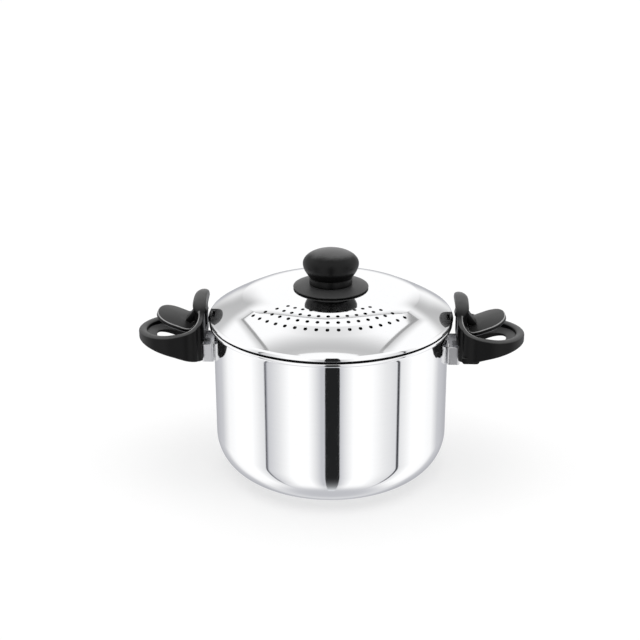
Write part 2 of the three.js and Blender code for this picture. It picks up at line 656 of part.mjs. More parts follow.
// The lever's arm seen from the front: hub, nose towards the lid and neck towards the thumb plate.
function leverArm() {
  const bite = lidRadius - NOSE_BITE;
  const tip = released(bite, lidConeHeight(bite) + NOSE_GAP);
  const tilt = degrees(PLATE_TILT);
  const alongPlate = new THREE.Vector2(Math.cos(tilt), Math.sin(tilt));
  const acrossPlate = new THREE.Vector2(-Math.sin(tilt), Math.cos(tilt));
  const plate = new THREE.Vector2(PLATE_REACH, -PLATE_DROP);
  const neckEnd = plate.clone().addScaledVector(alongPlate, -PLATE_LENGTH / 4);
  const neckTop = neckEnd.clone().addScaledVector(acrossPlate, PLATE_THICKNESS / 2 + PLATE_CROWN);
  const neckBottom = neckEnd.clone().addScaledVector(acrossPlate, -PLATE_THICKNESS / 2);
  const shape = new THREE.Shape();
  shape.moveTo(HUB_RADIUS, 0);
  shape.absarc(0, 0, HUB_RADIUS, 0, Math.PI, false);
  shape.lineTo(-ARM_WAIST, -ARM_WAIST_DROP);
  shape.lineTo(tip.x + NOSE_HEIGHT / 4, tip.y + NOSE_HEIGHT);
  shape.lineTo(tip.x, tip.y);
  shape.lineTo(0, -HEEL_DEPTH);
  shape.quadraticCurveTo(ARM_HALF / 2, -PLATE_DROP, neckBottom.x, neckBottom.y);
  shape.lineTo(neckTop.x, neckTop.y);
  shape.quadraticCurveTo(ARM_HALF + NECK_TOP_DROP / 2, -NECK_TOP_DROP - ARM_HALF, ARM_HALF, -NECK_TOP_DROP);
  shape.closePath();
  const arm = new THREE.ExtrudeGeometry(shape, { depth: LEVER_WIDTH, bevelEnabled: false, curveSegments: 6 });
  arm.rotateX(Math.PI / 2);
  arm.translate(pivotX, LEVER_WIDTH / 2, pivotZ);
  return arm;
}

// The thumb plate: a crowned oval, tilted with its outer end up.
function thumbPlate() {
  const half = PLATE_THICKNESS / 2;
  const flat = 1 - PLATE_THICKNESS / PLATE_WIDTH;
  const profile = [
    new THREE.Vector2(0, -half - PLATE_BELLY),
    new THREE.Vector2(flat / 2, -half - PLATE_BELLY),
    new THREE.Vector2(flat, -half),
    new THREE.Vector2(1, -half / 4),
    new THREE.Vector2(1, half / 4),
    new THREE.Vector2(flat, half),
    new THREE.Vector2(flat / 2, half + 0.75 * PLATE_CROWN),
    new THREE.Vector2(0, half + PLATE_CROWN),
  ];
  const plate = turned(profile, PLATE_STEPS);
  plate.scale(PLATE_LENGTH / 2, PLATE_WIDTH / 2, 1);
  plate.rotateY(-degrees(PLATE_TILT));
  plate.translate(pivotX + PLATE_REACH, 0, pivotZ - PLATE_DROP);
  return plate;
}

const springTop = -LEVER_WIDTH / 2 - RUN_GAP + 2 * WIRE_RADIUS;
const springBottom = springTop + SPRING_TURNS * SPRING_PITCH;

function lockLever() {
  const coilEnd = springBottom + 2 * WIRE_RADIUS;
  return cut(join([leverArm(), thumbPlate()]), [
    barOnPivot(PIN_RADIUS + BORE_GAP, -LEVER_WIDTH, LEVER_WIDTH),
    barOnPivot(HUB_RADIUS + SPRING_RECESS, -LEVER_WIDTH, coilEnd),
  ]);
}

// The spring's wire: a straight leg down to the pin, the turns round it and a second leg down to the lever.
class SpringWire extends THREE.Curve {
  getPoint(share, target = new THREE.Vector3()) {
    const turnsLength = 2 * Math.PI * SPRING_RADIUS * SPRING_TURNS;
    const along = share * (SPRING_LEG_FIXED + turnsLength + SPRING_LEG_MOVING) - SPRING_LEG_FIXED;
    const onTurns = THREE.MathUtils.clamp(along, 0, turnsLength);
    const angle = onTurns / SPRING_RADIUS;
    return target.set(
      pivotX - SPRING_RADIUS * Math.cos(angle),
      springTop + (angle / (2 * Math.PI)) * SPRING_PITCH,
      pivotZ - SPRING_RADIUS * Math.sin(angle) + onTurns - along,
    );
  }
}

// The least clear distance between one turn of the wire and the next.
function springGap(wire) {
  const points = wire.getPoints(SPRING_SAMPLES);
  const length = wire.getLength();
  let least = Infinity;
  points.forEach((point, index) => {
    points.slice(index + 1).forEach((other, ahead) => {
      const along = ((ahead + 1) / SPRING_SAMPLES) * length;
      if (along > Math.PI * SPRING_RADIUS) {
        least = Math.min(least, point.distanceTo(other) - 2 * WIRE_RADIUS);
      }
    });
  });
  return least;
}

function leverSpring() {
  const wire = new SpringWire();
  console.log(`lever spring, least gap between turns: ${springGap(wire).toFixed(2)} mm`);
  const section = new THREE.Shape();
  section.absarc(0, 0, WIRE_RADIUS, 0, 2 * Math.PI);
  return new THREE.ExtrudeGeometry(section, {
    steps: TURN_STEPS * (SPRING_TURNS + 1),
    extrudePath: wire,
    curveSegments: 3,
    bevelEnabled: false,
  });
}

// One handle with its bracket, screw and lever, made on the +X side.
function handleSide(side) {
  const group = new THREE.Group();
  group.add(
    piece(`${side}_bracket`, bracket(), steel()),
    piece(`${side}_bracket_nut`, bracketNut(), zinc()),
    piece(`${side}_handle`, handle(), phenolic()),
    piece(`${side}_handle_screw`, handleScrew(), zinc()),
    piece(`${side}_handle_washer`, handleWasher(), zinc()),
    piece(`${side}_lock_lever`, lockLever(), phenolic()),
    piece(`${side}_lever_pin`, barOnPivot(PIN_RADIUS, -PIN_HALF_LENGTH, PIN_HALF_LENGTH), zinc()),
    piece(`${side}_lever_spring`, leverSpring(), zinc()),
  );
  return group;
}

const strainerPot = new THREE.Group();
strainerPot.add(
  piece("pot_body", potBody(), steel()),
  piece("lid_shell", lidShell(), steel()),
  piece("knob_guard", knobGuard(), phenolic()),
  piece("knob_grip", knobGrip(), phenolic()),
  piece("knob_insert", knobInsert(), brass()),
  piece("knob_screw", knobScrew(), zinc()),
  piece("knob_washer", knobWasher(), zinc()),
);
const rightSide = handleSide("right");
const leftSide = handleSide("left");
leftSide.rotation.z = Math.PI;
strainerPot.add(rightSide, leftSide);

export default strainerPot;
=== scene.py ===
"""Looks of the rice strainer pot: polished pot and lid, black knob, loop handles and lock levers.

Sizes are written in millimetres and scaled to metres when a mesh is made. The frame is that of the
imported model: Z is up, the pot stands on Z = 0, the handles lie along X and the strainer holes face -Y.
"""

from __future__ import annotations

from dataclasses import dataclass
from enum import Enum
from typing import Any, Callable, Sequence, Union

import bmesh
import bpy
import numpy as np
from bpy.types import Material, Object
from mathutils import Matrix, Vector


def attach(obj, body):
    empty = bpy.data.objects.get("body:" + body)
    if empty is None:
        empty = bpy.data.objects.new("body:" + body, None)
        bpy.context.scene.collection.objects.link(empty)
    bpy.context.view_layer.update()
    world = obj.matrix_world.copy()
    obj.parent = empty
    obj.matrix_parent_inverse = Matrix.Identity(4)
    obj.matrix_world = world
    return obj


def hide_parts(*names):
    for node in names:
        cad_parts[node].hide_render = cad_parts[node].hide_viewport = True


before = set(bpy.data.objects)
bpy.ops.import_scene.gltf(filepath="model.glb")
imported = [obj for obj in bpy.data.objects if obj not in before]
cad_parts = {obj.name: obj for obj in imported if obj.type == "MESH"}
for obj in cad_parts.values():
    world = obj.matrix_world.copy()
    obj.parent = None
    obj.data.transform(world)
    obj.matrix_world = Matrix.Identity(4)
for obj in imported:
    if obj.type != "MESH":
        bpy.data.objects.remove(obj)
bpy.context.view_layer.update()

# WELD is in metres, the gaps between profile points in millimetres and the crisp angles in degrees
MM = 0.001
WELD = 1e-7
OPEN_GAP = 0.5
SAME_POINT = 1e-6
EXP_LIMIT = 60
CRISP = 40
CARVED_CRISP = 35
SMALL_PARTS = ("screw", "washer", "nut", "pin", "spring", "insert")
Number = Union[int, float]
Span = tuple[float, float]
Triple = tuple[float, float, float]
Colour = Triple


class Side(Enum):
    """The two handles; the left one is the right one turned half round the Z axis."""

    RIGHT = 1
    LEFT = -1


@dataclass(frozen=True)
class Patch:
    """Vertices in millimetres, the faces between them and each face's material."""

    points: np.ndarray
    faces: list[list[int]]
    zones: list[int] | None = None


class Sided:
    """A piece of one handle, drawn on the +X side; the lever's pivot lies at X and Z, along Y."""

    pivot = (108.9, 148.5)
    pivot_bore = 1.8

    def __init__(self, side: Side) -> None:
        """Takes the side that it stands on."""
        self.side = side

    def named(self, part: str) -> str:
        """The name of a part of this side."""
        return f"{self.side.name.lower()}_{part}"

    def turned(self, patch: Patch) -> Patch:
        """A patch placed on this side."""
        half_turn = np.array([self.side.value, self.side.value, 1.0])
        return Patch(patch.points * half_turn, patch.faces, patch.zones)


def stacked(*parts: np.ndarray) -> np.ndarray:
    """Points from their coordinates, which are spread to one shape."""
    return np.stack(np.broadcast_arrays(*parts), axis=-1)


def column(values: np.ndarray) -> np.ndarray:
    """A row of values as a column."""
    return values[:, None]


def arc(centre: tuple[Number, Number], radius: Number, start: Number, end: Number, steps: int) -> np.ndarray:
    """Points c + r (cos a, sin a) of an arc in a profile, with angles in degrees."""
    angle = np.radians(np.linspace(start, end, steps + 1))
    return stacked(centre[0] + radius * np.cos(angle), centre[1] + radius * np.sin(angle))


def line(start: Sequence[Number], end: Sequence[Number], steps: int) -> np.ndarray:
    """Inner points of a line, a + (b - a)(1 - cos(pi s)) / 2, crowded near both ends."""
    share = (1 - np.cos(np.pi * np.linspace(0, 1, steps + 1)[1:-1])) / 2
    first, last = np.asarray(start, float), np.asarray(end, float)
    return first + (last - first) * column(share)


def chained(steps: int, *pieces: Any) -> np.ndarray:
    """Profile pieces put end to end, with crowded lines of so many steps where they don't meet."""
    rows = [np.atleast_2d(pieces[0])]
    for piece in map(np.atleast_2d, pieces[1:]):
        gap = np.hypot(*(piece[0] - rows[-1][-1]))
        if gap > OPEN_GAP:
            rows.append(line(rows[-1][-1], piece[0], steps))
        rows.append(piece if gap > SAME_POINT else piece[1:])
    return np.concatenate(rows)


def smoothstep(value: np.ndarray, low: Number, high: Number) -> np.ndarray:
    """The cubic 3s^2 - 2s^3 of s = (value - low) / (high - low), held to 0 and 1."""
    share = np.clip((value - low) / (high - low), 0, 1)
    return share * share * (3 - 2 * share)


def grid(points: np.ndarray, wrap_rows: bool = True, wrap_columns: bool = True) -> Patch:
    """Quads over a grid of points, whose rows and columns can join up."""
    rows, columns = points.shape[:2]
    index = np.arange(rows * columns).reshape(rows, columns)
    index = np.vstack([index, index[:1]]) if wrap_rows else index
    index = np.hstack([index, index[:, :1]]) if wrap_columns else index
    corners = [index[:-1, :-1], index[:-1, 1:], index[1:, 1:], index[1:, :-1]]
    return Patch(points.reshape(-1, 3), stacked(*corners).reshape(-1, 4).tolist())


def capped(points: np.ndarray) -> Patch:
    """A tube of rings of points, closed by a face at each end."""
    rows, columns = points.shape[:2]
    patch = grid(points, wrap_rows=False)
    first = list(range(columns))
    last = list(range(rows * columns - 1, (rows - 1) * columns - 1, -1))
    return Patch(patch.points, patch.faces + [first, last])


def lathe(profile: np.ndarray, segments: int, closed: bool = False) -> Patch:
    """The surface (r(s) cos t, r(s) sin t, z(s)) of a profile; points on the axis are welded later."""
    angle = np.linspace(0, 2 * np.pi, segments, endpoint=False)
    radius, height = profile[:, :1], profile[:, 1:]
    return grid(stacked(radius * np.cos(angle), radius * np.sin(angle), height), wrap_rows=closed)


def block(span: Span, half: Number, heights: Span) -> Patch:
    """A box with a span along X, a half width to each side of Y = 0 and a span of heights."""
    corner = np.array(np.meshgrid([0, 1], [0, 1], [0, 1], indexing="ij")).reshape(3, 8).T
    low = np.array([span[0], -half, heights[0]], float)
    high = np.array([span[1], half, heights[1]], float)
    faces = [[0, 1, 3, 2], [4, 6, 7, 5], [0, 4, 5, 1], [2, 3, 7, 6], [0, 2, 6, 4], [1, 5, 7, 3]]
    return Patch(low + (high - low) * corner, faces)


def extruded(outline: np.ndarray, axis: int, low: Number, high: Number) -> Patch:
    """A flat outline carried along X (0), Y (1) or Z (2)."""
    ends = np.repeat(np.array([[low], [high]], float), len(outline), axis=1)
    return capped(np.insert(np.repeat(outline[None], 2, axis=0), axis, ends, axis=2))


def bar(axis: int, radius: Number, low: Number, high: Number, at: Span, steps: int = 40) -> Patch:
    """A round bar along an axis, about a middle line at the two other coordinates."""
    angle = np.linspace(0, 2 * np.pi, steps, endpoint=False)
    ring = stacked(at[0] + radius * np.cos(angle), at[1] + radius * np.sin(angle))
    return extruded(ring, axis, low, high)


def together(patches: Sequence[Patch]) -> Patch:
    """Separate patches as one."""
    starts = np.cumsum([0] + [len(patch.points) for patch in patches])
    faces = [
        [int(first) + corner for corner in face]
        for first, patch in zip(starts, patches)
        for face in patch.faces
    ]
    return Patch(np.concatenate([patch.points for patch in patches]), faces)


def swept(path: np.ndarray, heading: np.ndarray, offset: np.ndarray, height: np.ndarray) -> np.ndarray:
    """Sections carried along a plan path: (x + h_y o, y - h_x o, z) with the heading h and offset o."""
    x, y, heading_x, heading_y = (column(part) for part in (*path.T, *heading.T))
    return stacked(x + heading_y * offset, y - heading_x * offset, height)


def placed(name: str, data: Any) -> Object:
    """An object of this data, linked to the scene."""
    made = bpy.data.objects.new(name, data)
    bpy.context.scene.collection.objects.link(made)
    return made


def settle(mesh: bpy.types.Mesh, sharp: Number) -> None:
    """Welds a mesh, turns its faces outward and smooths it up to an angle in degrees."""
    work = bmesh.new()
    work.from_mesh(mesh)
    bmesh.ops.remove_doubles(work, verts=work.verts, dist=WELD)
    bmesh.ops.recalc_face_normals(work, faces=work.faces)
    work.to_mesh(mesh)
    work.free()
    mesh.shade_smooth()
    mesh.set_sharp_from_angle(angle=np.radians(sharp))


def solid(name: str, patch: Patch, finishes: Sequence[Material] = (), sharp: Number = CRISP) -> Object:
    """An object made from a patch."""
    mesh = bpy.data.meshes.new(name)
    mesh.from_pydata((patch.points * MM).tolist(), [], patch.faces)
    for finish in finishes:
        mesh.materials.append(finish)
    if patch.zones is not None:
        mesh.polygons.foreach_set("material_index", patch.zones)
    settle(mesh, sharp)
    return placed(name, mesh)


def worked(made: Object, steps: Sequence[tuple[str, dict[str, Any]]], sharp: Number = CRISP) -> None:
    """Applies modifiers to an object for good."""
    for kind, settings in steps:
        modifier = made.modifiers.new(kind, kind)
        for key, value in settings.items():
            setattr(modifier, key, value)
    shaped = made.evaluated_get(bpy.context.evaluated_depsgraph_get())
    mesh = bpy.data.meshes.new_from_object(shaped)
    made.modifiers.clear()
    made.data = mesh
    settle(mesh, sharp)


def boolean(operation: str, tool: Object) -> tuple[str, dict[str, Any]]:
    """The modifier that joins a tool to an object or cuts it out."""
    return "BOOLEAN", {"operation": operation, "object": tool, "solver": "EXACT"}


def carved(made: Object, joins: Sequence[Patch], cuts: Sequence[Patch]) -> None:
    """Joins solids to an object and cuts others out of it."""
    operations = [("UNION", patch) for patch in joins] + [("DIFFERENCE", patch) for patch in cuts]
    tools = [(operation, solid("tool", patch)) for operation, patch in operations]
    worked(made, [boolean(*tool) for tool in tools], CARVED_CRISP)
    for _, tool in tools:
        bpy.data.objects.remove(tool)


def fit(made: Object, body: str, node: str) -> None:
    """Gives an object its body and the node that it stands for."""
    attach(made, body)
    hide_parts(node)


def arithmetic(operation: str, swapped: bool = False) -> Callable[[Value, Term], Value]:
    """A method of a socket that works it out with another term, which comes first where swapped."""

    def method(value: Value, other: Term) -> Value:
        """One step of arithmetic."""
        return value.shade.math(operation, *((other, value) if swapped else (value, other)))

    return method


class Value:
    """A shader socket, so that node maths reads as arithmetic."""

    def __init__(self, shade: Shade, socket: bpy.types.NodeSocket) -> None:
        """Wraps one output socket."""
        self.shade = shade
        self.socket = socket

    __add__ = arithmetic("ADD")
    __radd__ = arithmetic("ADD", swapped=True)
    __sub__ = arithmetic("SUBTRACT")
    __rsub__ = arithmetic("SUBTRACT", swapped=True)
    __mul__ = arithmetic("MULTIPLY")
    __rmul__ = arithmetic("MULTIPLY", swapped=True)
    __truediv__ = arithmetic("DIVIDE")
    __rtruediv__ = arithmetic("DIVIDE", swapped=True)

    def __abs__(self) -> Value:
        """|self|"""
        return self.shade.math("ABSOLUTE", self)

    def rise(self, low: Number, high: Number) -> Value:
        """0 below low, 1 above high and a smooth step between."""
        inputs = {"Value": self, "From Min": low, "From Max": high}
        return self.shade.node("ShaderNodeMapRange", {"interpolation_type": "SMOOTHSTEP"}, inputs)


Term = Union[Value, Number]


class Shade:
    """One node tree, with short calls for what the finishes need."""

    def __init__(self, tree: bpy.types.NodeTree) -> None:
        """Empties the tree and takes it over."""
        self.tree = tree
        tree.nodes.clear()

    def node(
        self,
        kind: str,
        settings: dict[str, Any] | None = None,
        inputs: dict[Any, Any] | None = None,
        output: Any = 0,
    ) -> Value:
        """Makes any node, with inputs that are constants or sockets, and gives one of its outputs."""
        made = self.tree.nodes.new(kind)
        for key, value in (settings or {}).items():
            setattr(made, key, value)
        for key, value in (inputs or {}).items():
            if isinstance(value, Value):
                self.tree.links.new(value.socket, made.inputs[key])
            else:
                made.inputs[key].default_value = value
        return Value(self, made.outputs[output])

    def math(self, operation: str, *terms: Term) -> Value:
        """One step of arithmetic on numbers."""
        return self.node("ShaderNodeMath", {"operation": operation}, dict(enumerate(terms)))

    def mix(self, share: Term, first: Any, last: Any) -> Value:
        """A colour between two, each a socket or a constant."""
        inputs = {
            0: share,
            6: first if isinstance(first, Value) else (*first, 1.0),
            7: last if isinstance(last, Value) else (*last, 1.0),
        }
        return self.node("ShaderNodeMix", {"data_type": "RGBA"}, inputs, 2)

    def vector(self, x: Term, y: Term, z: Term) -> Value:
        """A vector of three numbers."""
        return self.node("ShaderNodeCombineXYZ", None, {0: x, 1: y, 2: z})

    def parts(self, vector: Value) -> tuple[Value, Value, Value]:
        """The three numbers of a vector."""
        first = self.node("ShaderNodeSeparateXYZ", None, {0: vector})
        outputs = first.socket.node.outputs
        return Value(self, outputs[0]), Value(self, outputs[1]), Value(self, outputs[2])

    def stretched(self, vector: Value, scale: Triple) -> Value:
        """A vector times another, part by part."""
        return self.node("ShaderNodeVectorMath", {"operation": "MULTIPLY"}, {0: vector, 1: scale})

    def place(self) -> Value:
        """Object coordinates, in metres."""
        return self.node("ShaderNodeTexCoord", None, None, "Object")

    def noise(self, vector: Value, scale: Number, detail: Number = 3.0, roughness: Number = 0.55) -> Value:
        """Fractal noise round 0.5."""
        inputs = {"Vector": vector, "Scale": scale, "Detail": detail, "Roughness": roughness}
        return self.node("ShaderNodeTexNoise", None, inputs)

    def round_axis(self, vector: Value) -> tuple[Value, Value, Value]:
        """Distance from the Z axis in metres, angle round it in radians, and height."""
        x, y, z = self.parts(vector)
        return self.math("SQRT", x * x + y * y), self.math("ARCTAN2", y, x), z

    def bump(self, height: Value, strength: Number, distance: Number) -> Value:
        """A normal tilted by a height, for a relief of that distance in metres."""
        inputs = {"Height": height, "Strength": strength, "Distance": distance}
        return self.node("ShaderNodeBump", None, inputs)

    def surface(self, inputs: dict[str, Any]) -> None:
        """Ends the tree with a Principled BSDF of these inputs."""
        shader = self.node("ShaderNodeBsdfPrincipled", None, inputs)
        self.node_out("ShaderNodeOutputMaterial", shader)

    def node_out(self, kind: str, shader: Value) -> None:
        """Joins a shader to an output node."""
        end = self.tree.nodes.new(kind)
        self.tree.links.new(shader.socket, end.inputs["Surface"])


def material(name: str) -> tuple[Material, Shade]:
    """A new material and its empty node tree."""
    made = bpy.data.materials.new(name)
    made.use_nodes = True
    return made, Shade(made.node_tree)


@dataclass(frozen=True)
class TurnedMetal:
    """Metal polished on a lathe: fine lines round the Z axis, with faint smears."""

    name: str
    tint: Colour
    shadow: Colour
    roughness: float
    lines: float
    smears: float = 0.02
    relief: float = 0.0
    metallic: float = 1.0
    shine: float = 0.5
    line_scale: float = 2200.0
    line_turn: float = 1.3
    line_rise: Span = (0.3, 0.7)
    line_depth: float = 0.5
    smear_scale: float = 22.0
    smear_rise: Span = (0.42, 0.75)

    def material(self) -> Material:
        """The finish as a material."""
        made, shade = material(self.name)
        place = shade.place()
        radius, angle, height = shade.round_axis(place)
        track = shade.vector(radius * self.line_scale, height * self.line_scale, angle * self.line_turn)
        line_noise = shade.noise(track, 1.0, 2.0)
        smear = shade.noise(place, self.smear_scale, 4.0).rise(*self.smear_rise)
        rough = self.roughness + self.lines * line_noise + self.smears * smear
        inputs = {
            "Base Color": shade.mix(line_noise.rise(*self.line_rise), self.shadow, self.tint),
            "Metallic": self.metallic,
            "Roughness": rough,
            "Specular IOR Level": self.shine,
        }
        if self.relief:
            inputs["Normal"] = shade.bump(line_noise, self.line_depth, self.relief * MM)
        shade.surface(inputs)
        return made


@dataclass(frozen=True)
class BlackPhenolic:
    """Moulded black plastic: satin, with a fine grain and faint cloudy patches, and painted light from above
    that greys upward faces.

    Faces turn grey, as painted light from above, where their normal's Z lies in the given upward span. The
    colours go back to plain black where the distance from the middle lies in fade, and turn to a painted
    highlight colour where the height lies in the given span of heights, in metres.
    """

    name: str
    tint: Colour = (0.0045, 0.0045, 0.0047)
    painted_top_light: Colour = (0.075, 0.075, 0.0753)
    roughness: float = 0.33
    grain: float = 0.05
    shine: float = 0.17
    grain_scale: float = 1900.0
    grain_height: float = 0.2
    grain_grey: float = 0.3
    grain_rough: float = 0.06
    cloud_scale: float = 45.0
    cloud_grey: float = 0.25
    cloud_rough: float = 0.1
    fade: Span | None = None
    top_light_span: Span = (0.05, 0.95)
    highlight_heights: Span | None = None
    head_highlight: Colour = (0.1, 0.1, 0.1004)

    def material(self) -> Material:
        """The finish as a material."""
        made, shade = material(self.name)
        place = shade.place()
        fine = shade.noise(place, self.grain_scale, 2.0, 0.6)
        cloud = shade.noise(place, self.cloud_scale, 3.0)
        _, _, up = shade.parts(shade.node("ShaderNodeNewGeometry", None, None, "Normal"))
        tint, painted_top_light = self.tint, self.painted_top_light
        if self.fade:
            gone = abs(shade.parts(place)[0]).rise(*self.fade)
            tint = shade.mix(gone, tint, BlackPhenolic.tint)
            painted_top_light = shade.mix(gone, painted_top_light, BlackPhenolic.painted_top_light)
        # Painted light from above: faces are greyed by how far their normal points up, stirred a little by
        # the cloud and the grain
        lit_and_mottled = up + self.cloud_grey * (cloud - 0.5) + self.grain_grey * (fine - 0.5)
        colour = shade.mix(lit_and_mottled.rise(*self.top_light_span), tint, painted_top_light)
        # Painted highlight: the colour turns lighter towards the top of the given heights, as light from
        # above on the shield's head
        if self.highlight_heights:
            colour = shade.mix(shade.parts(place)[2].rise(*self.highlight_heights), colour, self.head_highlight)
        smooth = self.roughness - self.cloud_rough / 2
        shade.surface(
            {
                "Base Color": colour,
                "Roughness": smooth + self.cloud_rough * cloud + self.grain_rough * fine,
                "Specular IOR Level": self.shine,
                "Normal": shade.bump(fine, self.grain, self.grain_height * MM),
            }
        )
        return made


@dataclass(frozen=True)
class PlatedMetal:
    """Plated small parts: soft sheen with mottled plating."""

    name: str
    tint: Colour
    shadow: Colour
    roughness: float = 0.3
    mottle_scale: float = 420.0
    mottle_rise: Span = (0.3, 0.7)
    mottle_rough: float = 0.12
    scratch_scale: Triple = (3000.0, 300.0, 3000.0)
    scratch_rough: float = 0.08
    scratch_depth: float = 0.2
    scratch_height: float = 0.02

    def material(self) -> Material:
        """The finish as a material."""
        made, shade = material(self.name)
        place = shade.place()
        mottle = shade.noise(place, self.mottle_scale, 4.0, 0.6)
        scratch = shade.noise(shade.stretched(place, self.scratch_scale), 1.0, 2.0)
        shade.surface(
            {
                "Base Color": shade.mix(mottle.rise(*self.mottle_rise), self.shadow, self.tint),
                "Metallic": 1.0,
                "Roughness": self.roughness + self.mottle_rough * mottle + self.scratch_rough * scratch,
                "Normal": shade.bump(scratch, self.scratch_depth, self.scratch_height * MM),
            }
        )
        return made


class Finishes:
    """Every finish of the object, made once."""

    def __init__(self) -> None:
        """Makes the materials."""
        self.mirror = TurnedMetal(
            "mirror_steel", (0.94, 0.943, 0.952), (0.925, 0.929, 0.94), roughness=0.035, lines=0.02
        ).material()
        self.strap = TurnedMetal(
            "strap_steel", (0.78, 0.78, 0.79), (0.72, 0.72, 0.73), roughness=0.26, lines=0.06
        ).material()
        # Dark steel for the groove under the lid's folded edge: painted shade where the fold hides the light
        self.seam = TurnedMetal(
            "seam_shade", (0.02, 0.02, 0.021), (0.01, 0.01, 0.011), 0.7, 0.1, metallic=0.0, shine=0.05
        ).material()
        self.satin = TurnedMetal(
            "satin_steel", (0.72, 0.72, 0.73), (0.6, 0.6, 0.61), 0.2, 0.14, smears=0.05, relief=0.004
        ).material()
        self.spun = TurnedMetal(
            "spun_steel", (0.74, 0.74, 0.75), (0.58, 0.58, 0.6), 0.22, 0.2, smears=0.05, relief=0.01
        ).material()
        # The loop: painted light from above greys its upward faces, and a painted highlight lightens the
        # shield's head towards its top
        self.loop = BlackPhenolic("loop_phenolic", highlight_heights=(0.141, 0.152)).material()
        # The guard disc, thumb pad and knob grip: painted light from above greys their upward faces, by the
        # given colours and spans
        self.disc = BlackPhenolic(
            "disc_phenolic", painted_top_light=(0.055, 0.055, 0.0553), top_light_span=(-0.5, 0.5)
        ).material()
        self.pad = BlackPhenolic("thumb_pad_phenolic", painted_top_light=(0.02, 0.02, 0.0201)).material()
        self.knob = BlackPhenolic(
            "knob_phenolic", (0.003, 0.003, 0.0031), (0.1, 0.1, 0.1004), 0.29, shine=0.2, top_light_span=(0.8, 1.0)
        ).material()
        # Pale phenolic for painted highlights along crisp edges: the lever plate's rim and the loop's crest
        pale, paler = (0.2, 0.2, 0.2), (0.4, 0.4, 0.4)
        self.edge_highlight = BlackPhenolic("edge_highlight_phenolic", pale, paler).material()
        self.crest = BlackPhenolic("crest_highlight_phenolic", pale, paler, fade=(0.109, 0.131)).material()
        self.zinc = PlatedMetal("zinc_plate", (0.66, 0.67, 0.69), (0.5, 0.51, 0.53)).material()
        self.brass = PlatedMetal("turned_brass", (0.7, 0.52, 0.2), (0.5, 0.36, 0.13), 0.26).material()


class Pot:
    """The pot: wall, round corner and flat base, with a rim rolled outwards."""

    radius = 98.5
    rim = 133.6
    wall = 1.0
    corner = 34.0
    bead = 1.7
    overhang = 3.5
    fillet = 1.2
    segments = 288

    def profile(self) -> tuple[np.ndarray, np.ndarray, np.ndarray]:
        """The base, the outside up to the rim's top, and the inside down to the middle."""
        inset = self.radius - self.corner
        bead_middle = (self.radius + self.overhang - self.bead, self.rim - self.bead)
        under = bead_middle[1] - self.bead
        base = chained(10, (0.0, 0.0), (inset, 0.0))
        outside = chained(
            12,
            arc((inset, self.corner), self.corner, -90, 0, 40),
            arc((self.radius + self.fillet, under - self.fillet), self.fillet, 180, 90, 6),
            arc(bead_middle, self.bead, -90, 90, 20),
        )
        mouth = self.radius - self.wall
        inside = chained(
            12,
            arc((mouth + self.fillet, self.rim - self.fillet), self.fillet, 90, 180, 8),
            arc((inset, self.corner), self.corner - self.wall, 0, -90, 40),
            (0.0, self.wall),
        )
        return base, outside, inside

    def build(self, finishes: Finishes) -> None:
        """Makes the pot in place of its node."""
        base, outside, inside = self.profile()
        rows = np.concatenate([base, outside[1:], inside])
        patch = lathe(rows, self.segments)
        row = np.repeat(np.arange(len(rows) - 1), self.segments)
        satin_from = len(base) + len(outside) - 1
        zones = np.select([row < len(base) - 1, row < satin_from], [2, 0], 1)
        metals = [finishes.mirror, finishes.satin, finishes.spun]
        made = solid("pot_bowl", Patch(patch.points, patch.faces, zones.tolist()), metals)
        fit(made, "pot", "pot_body")


